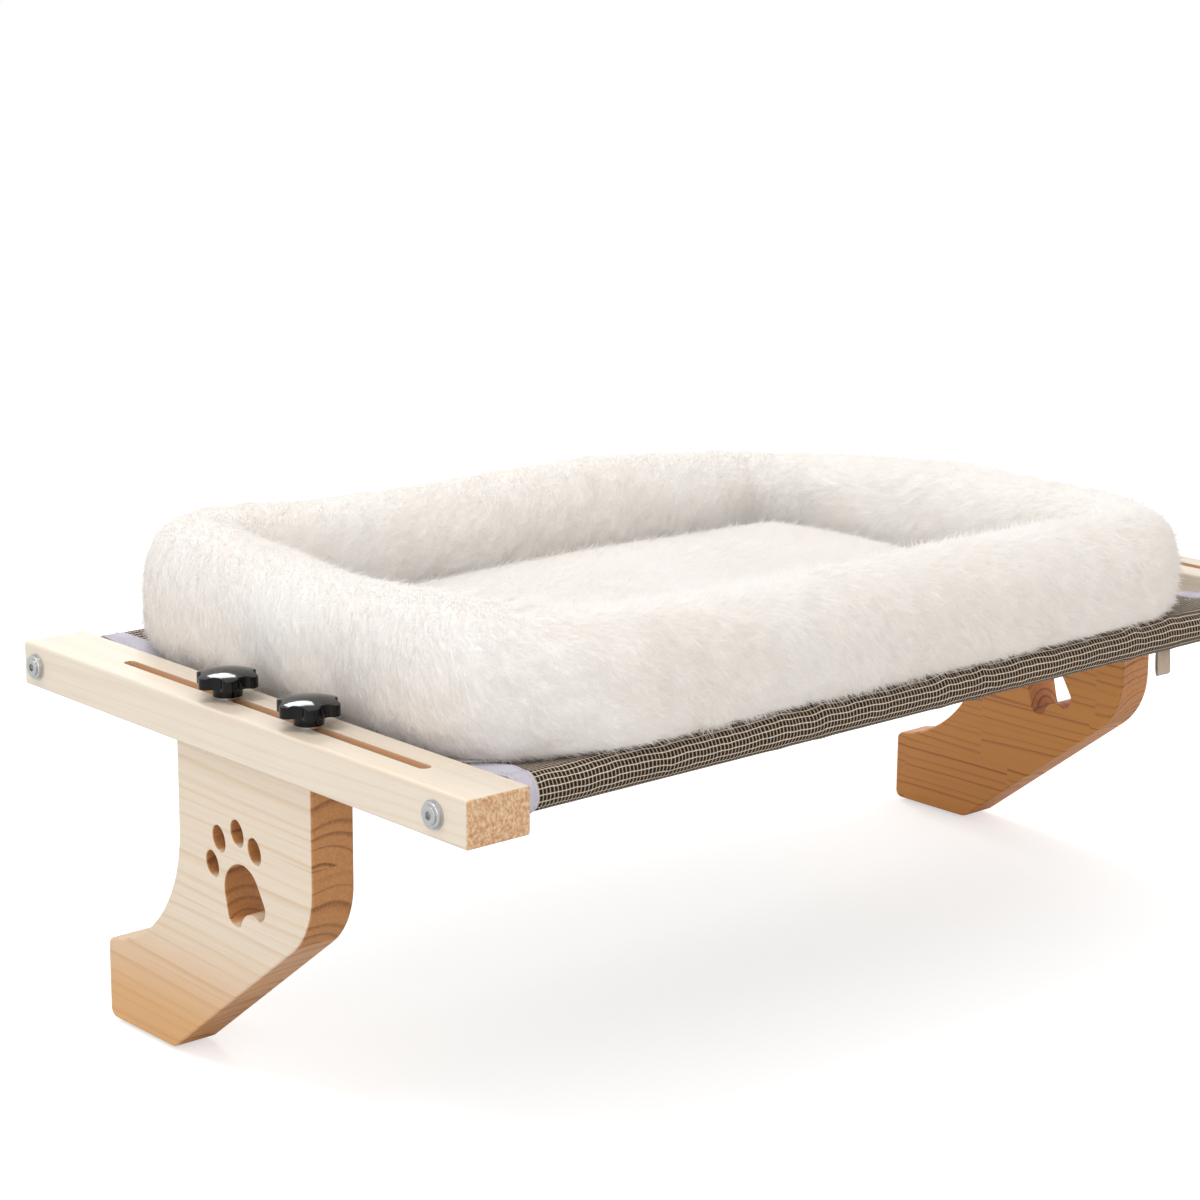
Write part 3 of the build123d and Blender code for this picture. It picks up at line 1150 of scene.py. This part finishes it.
    def binding(self, side: Side) -> Piece:
        """Builds the tape folded over one short end of the sling.

        Args:
            side: The end of the frame.

        Returns:
            The tape, with its stitches.
        """
        line, normal = self.outline()
        across = np.array([0.0, 0.02, 0.08, 0.3, 0.5, 0.7, 0.92, 0.98, 1.0])
        tuck = np.array([-0.7, -0.25, 0.0, 0.08, 0.12, 0.08, 0.0, -0.2, -0.6]) * self.tape_tuck
        xs = self.edge(side) - side.value * across * self.tape_width
        slow, fast = np.random.default_rng(5 + side.value).uniform(0, math.tau, 2)
        count = np.arange(len(line))
        swell, ripple = self.tape_swells
        wave = swell * np.sin(count * 0.55 + slow) + ripple * np.sin(count * 1.3 + fast)
        rows = line[:, None, :] + normal[:, None, :] * (tuck[None, :] + wave[:, None])[:, :, None]
        x = self.pulled(*sheet_places(xs, line))
        faces = grid_faces(len(line), len(xs), wrap_rows=True)
        piece = mesh_piece(f"{side.word}_binding_tape", np.dstack([x, rows]), faces)
        face_out(piece)
        along = run_along(line)
        make_cloth(piece, sheet_uv(across * self.tape_width, along), self.tape, BINDING)
        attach(piece, Body.FRAME.value)
        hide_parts(f"{side.word}_sling_binding")
        stitches = self.tape_stitches(side, line, normal)
        return piece

    def sew(self, name: str, rows: list[Array], closed: bool) -> Piece:
        """Sews rows of stitches as one piece of the frame.

        Args:
            name: The piece's name.
            rows: The lines that the stitches follow.
            closed: Whether each line comes back to its start.

        Returns:
            The stitches.
        """
        points, edges = [], []
        for row in rows:
            first = len(points)
            points += row.tolist()
            edges += [(k, k + 1) for k in range(first, len(points) - 1)]
            if closed:
                edges.append((len(points) - 1, first))
        mesh = bpy.data.meshes.new(name)
        mesh.from_pydata(points, edges, [])
        piece = link(name, mesh)
        sizes = {"Pitch": self.stitch_pitch, "Length": self.stitch_length, "Width": self.stitch_width}
        run_nodes(piece, stitch_tree(), sizes)
        shade_smooth(piece.data)
        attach(piece, Body.FRAME.value)
        return piece

    def tape_stitches(self, side: Side, line: Array, normal: Array) -> Piece:
        """Sews two rows of stitches along one tape.

        Args:
            side: The end of the frame.
            line: The tape's line in Y and Z.
            normal: The outward direction at each of its points.

        Returns:
            All the stitches as one piece.
        """
        rows = []
        for inset in (self.stitch_inset, self.tape_width - self.stitch_inset):
            x = self.edge(side) - side.value * inset
            places = self.pulled(np.full(len(line), x), line[:, 0], line[:, 1])
            rows.append(np.column_stack([places, line + normal * self.stitch_rise]))
        return self.sew(f"{side.word}_binding_stitches", rows, closed=True)

    def seam_stitches(self) -> Piece:
        """Sews the two rows of stitches that close each sleeve, seen on top of the deck.

        Returns:
            All the stitches as one piece.
        """
        rows = []
        xs = np.arange(self.low.x + self.tape_width, self.high.x - self.tape_width, self.step)
        for place in (seam + offset for seam in self.seams for offset in (-self.seam_half, self.seam_half)):
            ys = np.full_like(xs, place)
            zs = self.deck_z(ys) + self.lift(xs, ys) + self.cloth / 2 + self.seam_stitch_rise
            rows.append(np.column_stack([xs, ys, zs]))
        return self.sew("sleeve_seam_stitches", rows, closed=False)

    def tab(self) -> Piece:
        """Builds the small folded tape tab under the front sleeve.

        Returns:
            The tab.
        """
        low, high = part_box("sling_tab")
        width, drop = high.x - low.x, 0.85 * (high.z - low.z)
        half = self.tab_half
        side = [(-half, 0.0), (-half * 1.3, -0.3 * drop), (-half * 1.5, -0.7 * drop), (-half, -0.97 * drop)]
        loop = side + [(0.0, -drop)] + [(-y, z) for y, z in side[::-1]]
        line = even(np.array(loop), self.tab_step)
        xs = np.linspace(low.x, high.x, 9)
        x, y, z = sheet_places(xs, line)
        curl = self.tab_curl * (z / drop) ** 2
        y = (low.y + high.y) / 2 + y - curl + self.tab_wave * np.sin(8 * x / width)
        piece = mesh_piece("care_tab", np.dstack([x, y, high.z + z]), grid_faces(len(line), len(xs)))
        face_out(piece)
        along = run_along(line)
        make_cloth(piece, sheet_uv(xs - low.x, along), self.tab_thickness, TAB_TAPE)
        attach(piece, Body.FRAME.value)
        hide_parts("sling_tab")
        return piece

    def dress(self) -> None:
        """Builds every piece of the sling."""
        self.cloth_sheet()
        self.seam_stitches()
        for side in Side:
            self.binding(side)
        self.tab()


@dataclass
class Pile:
    """Short plush pile, grown as fine curved blades that lie along the nap."""

    length: float = 6.4 * MM
    width: float = 0.37 * MM
    density: float = 970_000.0
    rise: float = 0.3
    tousle: float = 0.55
    seed: int = 7
    softness: float = 0.8
    sizes: Span = (0.6, 1.25)
    taper: float = 0.85
    bend: float = 0.7
    lock_scale: float = 60.0
    swirl_scale: float = 11.0
    swirl: float = 3.2
    strays: float = 7.0
    tilt: Span = (-0.14, 0.75)
    roll: float = 0.3
    yaw: float = 0.5

    def tree(self) -> Tree:
        """Builds the geometry tree that grows the pile.

        Returns:
            A tree with the inputs Density, Length, Width, Rise, Tousle and Seed.
        """
        tree = bpy.data.node_groups.get("pile")
        if tree:
            return tree
        tree, start = node_group("pile", ("Density", "Length", "Width", "Rise", "Tousle"), ("Seed",))
        cover = made(tree, NAMED, {"Name": "cover"}, data_type="FLOAT")
        spread = {0: start["Geometry"], "Density": cover * start["Density"], "Seed": start["Seed"]}
        rooted = add(tree, "GeometryNodeDistributePointsOnFaces", spread).outputs
        normal, point = Wire(rooted["Normal"]), {"data_type": "FLOAT_VECTOR", "domain": "POINT"}
        faced = Wire(rooted["Points"]).into(STORE, {"Name": "facing", "Value": normal}, **point)
        blade = {"Instance": self.blade(start), "Rotation": self.turn(start, normal)}
        blade["Scale"] = chance(tree, *self.sizes, 3)
        placed = faced.into("GeometryNodeInstanceOnPoints", blade)
        tone = {"Name": "tone", "Value": chance(tree, 0.0, 1.0, 9)}
        marked = placed.into(STORE, tone, data_type="FLOAT", domain="INSTANCE")
        joined = add(tree, "GeometryNodeJoinGeometry", {0: dressed(marked, PILE)})
        feed(joined, {0: start["Geometry"]})
        add(tree, "NodeGroupOutput", {"Geometry": joined.outputs[0]})
        return tree

    def blade(self, start: dict[str, Wire]) -> Wire:
        """Bends and tapers a small strip into one blade of pile.

        Args:
            start: The pile tree's inputs.

        Returns:
            The blade, which lies along +Y and lifts towards its tip.
        """
        length = start["Length"]
        grid = {0: start["Width"], 1: length, "Vertices X": 2, "Vertices Y": 3}
        strip = made(length.tree, "GeometryNodeMeshGrid", grid, "Mesh")
        x, y, _ = made(length.tree, "GeometryNodeInputPosition").parts()
        share = y / length + 0.5
        lift = share.math("POWER", self.bend) * start["Rise"] * length
        place = (x * share.math("MULTIPLY_ADD", -self.taper, 1.0)).joined(share * length, lift)
        return strip.into("GeometryNodeSetPosition", {"Position": place})

    def turn(self, start: dict[str, Wire], normal: Wire) -> Wire:
        """Turns each blade to lie along the nap, with locks that swirl and a few hairs that stand up.

        Args:
            start: The pile tree's inputs.
            normal: The surface's direction at each root.

        Returns:
            Each blade's turn.
        """
        tree = normal.tree
        nap = made(tree, NAMED, {"Name": "nap"}, data_type="FLOAT_VECTOR")
        place = made(tree, "GeometryNodeInputPosition")
        locks = place.noise(self.lock_scale, 1.5, "Color")
        broad = place.noise(self.swirl_scale, 0.0, "Color")
        mixed = locks.vector("ADD", broad).vector("SUBTRACT", (1.0, 1.0, 1.0))
        way = nap.vector("ADD", mixed.scaled(start["Tousle"] * self.swirl))
        upright = made(tree, ALIGN, {"Vector": normal}, axis="Z")
        laid = upright.into(ALIGN, {"Vector": way}, axis="Y", pivot_axis="Z")
        stray = chance(tree, 0.0, 1.0, 5).math("POWER", self.strays)
        roll, yaw = chance(tree, -self.roll, self.roll, 6), chance(tree, -self.yaw, self.yaw, 8)
        angles = stray.ramp(self.tilt).joined(roll, yaw)
        turned = angles.into("FunctionNodeEulerToRotation")
        return laid.into("FunctionNodeRotateRotation", {1: turned}, rotation_space="LOCAL")

    def grow(self, piece: Piece, cover: Array, nap: Array) -> None:
        """Grows the pile on a piece and joins it to the piece's mesh.

        Args:
            piece: The piece whose surface carries the pile.
            cover: How dense the pile is at each vertex, from 0 to 1.
            nap: The direction that the pile lies in at each vertex.
        """
        layers = piece.data.attributes
        layers.new("cover", "FLOAT", "POINT").data.foreach_set("value", cover.astype(np.float32))
        layers.new("nap", "FLOAT_VECTOR", "POINT").data.foreach_set("vector", nap.astype(np.float32).ravel())
        fewer, wider = ((1.0, 1.0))
        values = {"Density": self.density * fewer, "Length": self.length, "Width": self.width * wider}
        values |= {"Rise": self.rise, "Tousle": self.tousle, "Seed": self.seed}
        run_nodes(piece, self.tree(), values)
        self.soften(piece.data)

    def soften(self, mesh: bpy.types.Mesh) -> None:
        """Lets each blade take the light as the surface under it does, so that the pile looks like one coat.

        Args:
            mesh: The ground and its pile, with the surface's direction at each blade in "facing".
        """
        shade_smooth(mesh)
        facing, own = (np.zeros((len(mesh.vertices), 3), np.float32) for _ in range(2))
        mesh.attributes["facing"].data.foreach_get("vector", facing.ravel())
        mesh.vertex_normals.foreach_get("vector", own.ravel())
        ground = np.linalg.norm(facing, axis=1) < 0.5
        soft = self.softness * facing + (1 - self.softness) * own
        soft[ground] = own[ground]
        soft /= np.linalg.norm(soft, axis=1)[:, None]
        for name in ("facing", "cover", "nap"):
            mesh.attributes.remove(mesh.attributes[name])
        mesh.normals_split_custom_set_from_vertices(soft)


@dataclass
class PlushBed:
    """The plush bed: a stuffed rim round a crowned pad, on an underside cloth."""

    inset: float = 3.5 * MM
    rim_width: float = 72 * MM
    corner: float = 90 * MM
    squareness: float = 2.5
    columns: int = 640
    rows: int = 96
    lump: float = 0.035
    swell: float = 0.05
    dent_out: float = 0.5 * MM
    dent_up: float = 0.7 * MM
    tuft: float = 0.55 * MM
    fringe: float = 1.6 * MM
    sunk: float = 1 * MM
    left_front_rise: float = 6.5 * MM
    left_rear_rise: float = 8 * MM
    right_front_drop: float = 3 * MM
    right_rear_drop: float = 14 * MM
    pad_columns: int = 74
    pad_rows: int = 50
    pad_margin: float = 1 * MM
    pad_inset: float = 4 * MM
    pad_crown: float = 9 * MM
    pad_roll: float = 12 * MM
    pad_ripple: float = 1.2 * MM
    pad_foot: float = 0.2 * MM
    deck_gap: float = 1.2 * MM
    underside_gap: float = 0.6 * MM
    underside_cloth: float = 0.8 * MM

    def __post_init__(self) -> None:
        """Reads the bed's reach from the frame."""
        self.low, self.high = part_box("bed_bolster")
        self.sling = Sling()
        self.middle = (self.low + self.high) / 2

    def floor_z(self, y: Array) -> Array:
        """The height that the bed's underside lies at, over the deck."""
        deck = self.sling.deck_z(np.clip(y, self.sling.front_y, self.sling.rear_y))
        return deck + self.sling.cloth / 2 + self.sling.bed_gap + self.deck_gap

    def path(self) -> tuple[Array, Array]:
        """Follows the middle of the rim round the bed, from the front edge's middle towards +X.

        Returns:
            The points in X and Y, and the outward direction at each.
        """
        turn = self.corner - self.rim_width / 2
        x = (self.high.x - self.low.x) / 2 - self.corner
        y = (self.high.y - self.low.y) / 2 - self.corner
        arc = turn * math.pi / 2
        knots = np.cumsum([0, x, arc, 2 * y, arc, 2 * x, arc, 2 * y, arc, x])
        places = np.arange(self.columns) / self.columns * knots[-1]
        angle = np.interp(places, knots, np.array([-1, -1, 0, 0, 1, 1, 2, 2, 3, 3]) * math.pi / 2)
        outward = np.column_stack([np.cos(angle), np.sin(angle)])
        # The middle of each corner's curve stays put while the direction turns.
        core_x = np.interp(places, knots, [0, x, x, x, x, -x, -x, -x, -x, 0])
        core_y = np.interp(places, knots, [-y, -y, -y, y, y, y, y, -y, -y, -y])
        core = np.column_stack([core_x + self.middle.x, core_y + self.middle.y])
        return core + turn * outward, outward

    def rim_lift(self, points: Array) -> Array:
        """How much higher than the rest the rim stands at places round the bed.

        Args:
            points: Places in X and Y.

        Returns:
            Heights to add to the rim's top.
        """
        x = (points[:, 0] - self.middle.x) / (self.high.x - self.middle.x)
        y = (points[:, 1] - self.middle.y) / (self.high.y - self.middle.y)
        left, right = smooth(0.35, 1.0, -x), smooth(0.2, 0.95, x)
        front, rear = smooth(-0.1, 0.8, -y), smooth(-0.1, 0.8, y)
        rise = left * (self.left_front_rise * front + self.left_rear_rise * rear)
        return rise - right * (self.right_front_drop * front + self.right_rear_drop * rear)

    def rim_section(self) -> tuple[Array, Array, Array]:
        """Draws the rim's squarish-round section.

        Returns:
            The turn at each of its points, and how far the point lies out and up, from -1 to 1.
        """
        turn = np.linspace(0, math.tau, self.rows, endpoint=False)
        ways = np.array([np.cos(turn), np.sin(turn)])
        out, up = np.sign(ways) * np.abs(ways) ** (2 / self.squareness)
        return turn, out, up

    def rim_points(self, path: Array, outward: Array) -> Array:
        """Shapes the rim's surface, with its lumps, dents, tufts and frayed foot.

        Args:
            path: The middle of the rim.
            outward: The outward direction along it.

        Returns:
            The points, by column and row.
        """
        *lumps, swell, dent, fray = np.random.default_rng(11).uniform(0, math.tau, 7)
        turn, out, up = self.rim_section()
        # Each wave runs round the bed a whole number of times, so that its ends meet.
        around = (np.arange(self.columns) / self.columns * math.tau)[:, None]
        lump = sum(np.sin(around * n + lumps[i]) / (i + 2) for i, n in enumerate((5, 9, 14, 23)))
        dents = np.sin(around * 37 + 2 * turn + dent) * np.sin(around * 21 - 3 * turn)
        tufts = np.sin(around * 113 + 2.2 * np.sin(6 * turn + around * 19))
        tufts = self.tuft * tufts * np.sin(21 * turn + 2.4 * np.sin(around * 41))
        wave = self.swell * np.sin(2 * turn + swell + 3 * np.sin(around * 2))
        half_width = self.rim_width / 2 - self.inset
        half_height = (self.high.z - self.low.z) / 2 - self.inset / 2 - self.sunk
        reach = half_width * (1 + self.lump * lump) * (1 + 0.4 * wave) + self.dent_out * dents + tufts
        height = (half_height * (1 + 0.3 * wave) + self.dent_up * dents + tufts) * up
        height += self.rim_lift(path)[:, None] * smooth(-0.2, 1.0, up)
        frays = np.sin(around * 83 + 2.1 * np.sin(around * 17)) * (0.55 + 0.45 * np.sin(around * 31 + fray))
        height -= self.fringe * frays * (smooth(-1.0, -0.9, up) - smooth(-0.8, -0.35, up))
        flat = path[:, None, :] + outward[:, None, :] * (reach * out)[:, :, None]
        height = np.maximum(self.middle.z - self.sunk + height, self.floor_z(flat[:, :, 1]))
        return np.dstack([flat, height])

    def rim(self) -> Piece:
        """Builds the stuffed rim with its pile.

        Returns:
            The rim.
        """
        path, outward = self.path()
        _, out, up = self.rim_section()
        points = self.rim_points(path, outward)
        faces = grid_faces(self.columns, self.rows, wrap_rows=True, wrap_columns=True)
        piece = mesh_piece("bed_rim_plush", points, faces)
        face_out(piece)
        piece.data.materials.append(GROUND.material())
        tangent = np.column_stack([-outward[:, 1], outward[:, 0]])
        spill = np.tanh(3.5 * out) * np.abs(up)
        nap = np.zeros_like(points)
        nap[:, :, :2] = 0.9 * tangent[:, None, :] + 0.5 * spill[None, :, None] * outward[:, None, :]
        nap[:, :, 2] = -0.6 * np.abs(out)
        Pile().grow(piece, np.tile(smooth(-0.95, -0.7, up), self.columns), nap.reshape(-1, 3))
        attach(piece, Body.BED.value)
        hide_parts("bed_bolster")
        log.info("bed rim: %d faces", len(piece.data.polygons))
        return piece

    def pad(self) -> Piece:
        """Builds the crowned pad with its pile.

        Returns:
            The pad.
        """
        low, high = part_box("bed_pad")
        columns, rows, margin = self.pad_columns, self.pad_rows, self.pad_margin
        u, v = np.meshgrid(np.linspace(-1, 1, columns), np.linspace(-1, 1, rows))
        xs = np.linspace(low.x + margin, high.x - margin, columns)
        x, y = np.meshgrid(xs, np.linspace(low.y + margin, high.y - margin, rows))
        across, along = np.random.default_rng(21).uniform(0, math.tau, 2)
        ripple = self.pad_ripple * np.sin(x * 31 + across) * np.sin(y * 37 + along)
        top = high.z - self.pad_inset - self.pad_crown * (u**2 + v**2) / 2 + ripple
        top -= self.pad_roll * smooth(0.86, 1.0, np.maximum(np.abs(u), np.abs(v)))
        points = np.vstack([np.dstack([x, y, z]) for z in (top, self.floor_z(y) + self.pad_foot)])
        count = rows * columns
        faces = [f[::-1] for f in grid_faces(rows, columns)]
        faces += [tuple(i + count for i in f[::-1]) for f in faces]
        grid = np.arange(count).reshape(rows, columns)
        ring = [*grid[0], *grid[1:, -1], *grid[-1, -2::-1], *grid[-2:0:-1, 0]]
        faces += [(a, b, b + count, a + count) for a, b in zip(ring, ring[1:] + ring[:1])]
        piece = mesh_piece("bed_pad_plush", points, faces)
        face_out(piece)
        piece.data.materials.append(GROUND.material())
        nap = np.tile((0.8, -0.3, 0.0), (2 * count, 1))
        Pile(seed=17).grow(piece, np.repeat([1.0, 0.0], count), nap)
        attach(piece, Body.BED.value)
        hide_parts("bed_pad")
        log.info("bed pad: %d faces", len(piece.data.polygons))
        return piece

    def underside(self) -> Piece:
        """Builds the cloth sewn under the bed.

        Returns:
            The cloth.
        """
        low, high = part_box("bed_underside")
        radius = self.corner - (low.x - self.low.x)
        half = np.array((high - low)[:2]) / 2 - radius
        rings, turns = 14, 96
        share = np.repeat(np.arange(1, rings + 1) / rings, turns)[:, None]
        angle = np.tile(math.tau * np.arange(turns) / turns, rings)
        ways = np.column_stack([np.cos(angle), np.sin(angle)])
        # From a third on, a direction counts in full towards a side, so that the straight runs stay straight.
        flat = share * (radius * ways + half * np.clip(3 * ways, -1, 1))
        flat = np.vstack([flat, (0, 0)]) + np.array((low + high)[:2]) / 2
        z = self.floor_z(flat[:, 1]) - self.deck_gap + self.underside_gap
        faces = grid_faces(rings, turns, wrap_columns=True)
        faces += [(k, (k + 1) % turns, len(flat) - 1) for k in range(turns)]
        piece = mesh_piece("bed_underside_cloth", np.column_stack([flat, z]), faces)
        face_out(piece)
        make_cloth(piece, flat - flat.min(axis=0), self.underside_cloth, UNDERSIDE_CLOTH)
        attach(piece, Body.BED.value)
        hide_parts("bed_underside")
        return piece

    def dress(self) -> None:
        """Builds every piece of the bed."""
        self.rim()
        self.pad()
        self.underside()


@dataclass
class Studio:
    """The plain studio: camera, floor, lamps and a white surround."""

    eye: Point = (-1.1323, -1.2390, 0.4218)
    aim: Point = (0.0, -0.05, 0.0)
    yaw: float = 0.7250
    pitch: float = 0.2342
    roll: float = 0.0068
    focal_pixels: float = 2949.7
    image_pixels: float = 1200.0
    sensor: float = 36.0
    floor_z: float = -0.177
    floor_reach: float = 12.0
    fill: float = 0.82

    def camera(self) -> None:
        """Sets the camera where the picture was taken from."""
        level = math.cos(self.pitch)
        forward = Vector((math.sin(self.yaw) * level, math.cos(self.yaw) * level, -math.sin(self.pitch)))
        right = forward.cross(Vector((0, 0, 1))).normalized()
        up = right.cross(forward)
        c, s = math.cos(self.roll), math.sin(self.roll)
        right, up = c * right + s * up, c * up - s * right
        data = bpy.data.cameras.new("camera")
        data.sensor_width = self.sensor
        data.lens = self.focal_pixels / self.image_pixels * self.sensor
        camera = link("camera", data)
        turn = Matrix((right, up, -forward)).transposed()
        camera.matrix_world = Matrix.Translation(self.eye) @ turn.to_4x4()
        bpy.context.scene.camera = camera

    def lamp(self, name: str, place: Point, size: float, power: float, colour: str) -> None:
        """Hangs one soft square lamp that faces the bed.

        Args:
            name: The lamp's name.
            place: Where it hangs.
            size: Its edge.
            power: Its power in watts.
            colour: Its colour as hex.
        """
        data = bpy.data.lights.new(name, "AREA")
        data.shape = "SQUARE"
        data.size = size
        data.energy = power
        data.color = linear(colour)[:3]
        lamp = link(name, data)
        lamp.location = place
        way = Vector(self.aim) - Vector(place)
        lamp.rotation_euler = way.to_track_quat("-Z", "Y").to_euler()

    def surround(self) -> None:
        """Makes the world white to the camera and in reflections, and a soft fill on the bed."""
        world = bpy.data.worlds.new("studio")
        bpy.context.scene.world = world
        world.use_nodes = True
        tree = world.node_tree
        rays = add(tree, "ShaderNodeLightPath").outputs
        seen = Wire(rays["Is Camera Ray"]).math("MAXIMUM", rays["Is Glossy Ray"])
        seen = seen.math("MAXIMUM", rays["Is Transmission Ray"])
        sky = {"Color": linear("FFFFFF"), "Strength": seen.span(start=self.fill, stop=1.0)}
        feed(tree.nodes["Background"], sky)

    def floor(self) -> None:
        """Lays a wide white floor that keeps the bed's shadow."""
        ways = ((-1, -1), (1, -1), (1, 1), (-1, 1))
        corners = [(x * self.floor_reach, y * self.floor_reach, self.floor_z) for x, y in ways]
        piece = mesh_piece("floor", np.array(corners), [(0, 1, 2, 3)])
        piece.data.materials.append(FLOOR_PAINT.material())
        piece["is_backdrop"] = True

    def build(self) -> None:
        """Builds the whole studio."""
        self.camera()
        self.surround()
        self.floor()
        self.lamp("key", (-1.0, 0.1, 2.3), 0.8, 13.0, "FFFFFF")
        self.lamp("rear", (0.8, 1.8, 1.6), 0.6, 12.0, "FFFFFF")
        self.lamp("fill", (-2.3, -1.1, 1.0), 1.5, 10.5, "F7FAFF")
        self.lamp("warm front", (0.8, -2.2, 0.3), 1.2, 4.5, "FFDDB5")
        bpy.context.scene.view_settings.view_transform = "Standard"


def main() -> None:
    """Builds the object and the studio in order, and reports each piece."""
    logging.basicConfig(level=logging.INFO, format="%(message)s")
    Hardware().dress()
    Sling().dress()
    PlushBed().dress()
    Studio().build()
    bpy.context.view_layer.update()
    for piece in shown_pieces():
        log.info("piece %s", piece.name)


if __name__ == "__main__":
    main()
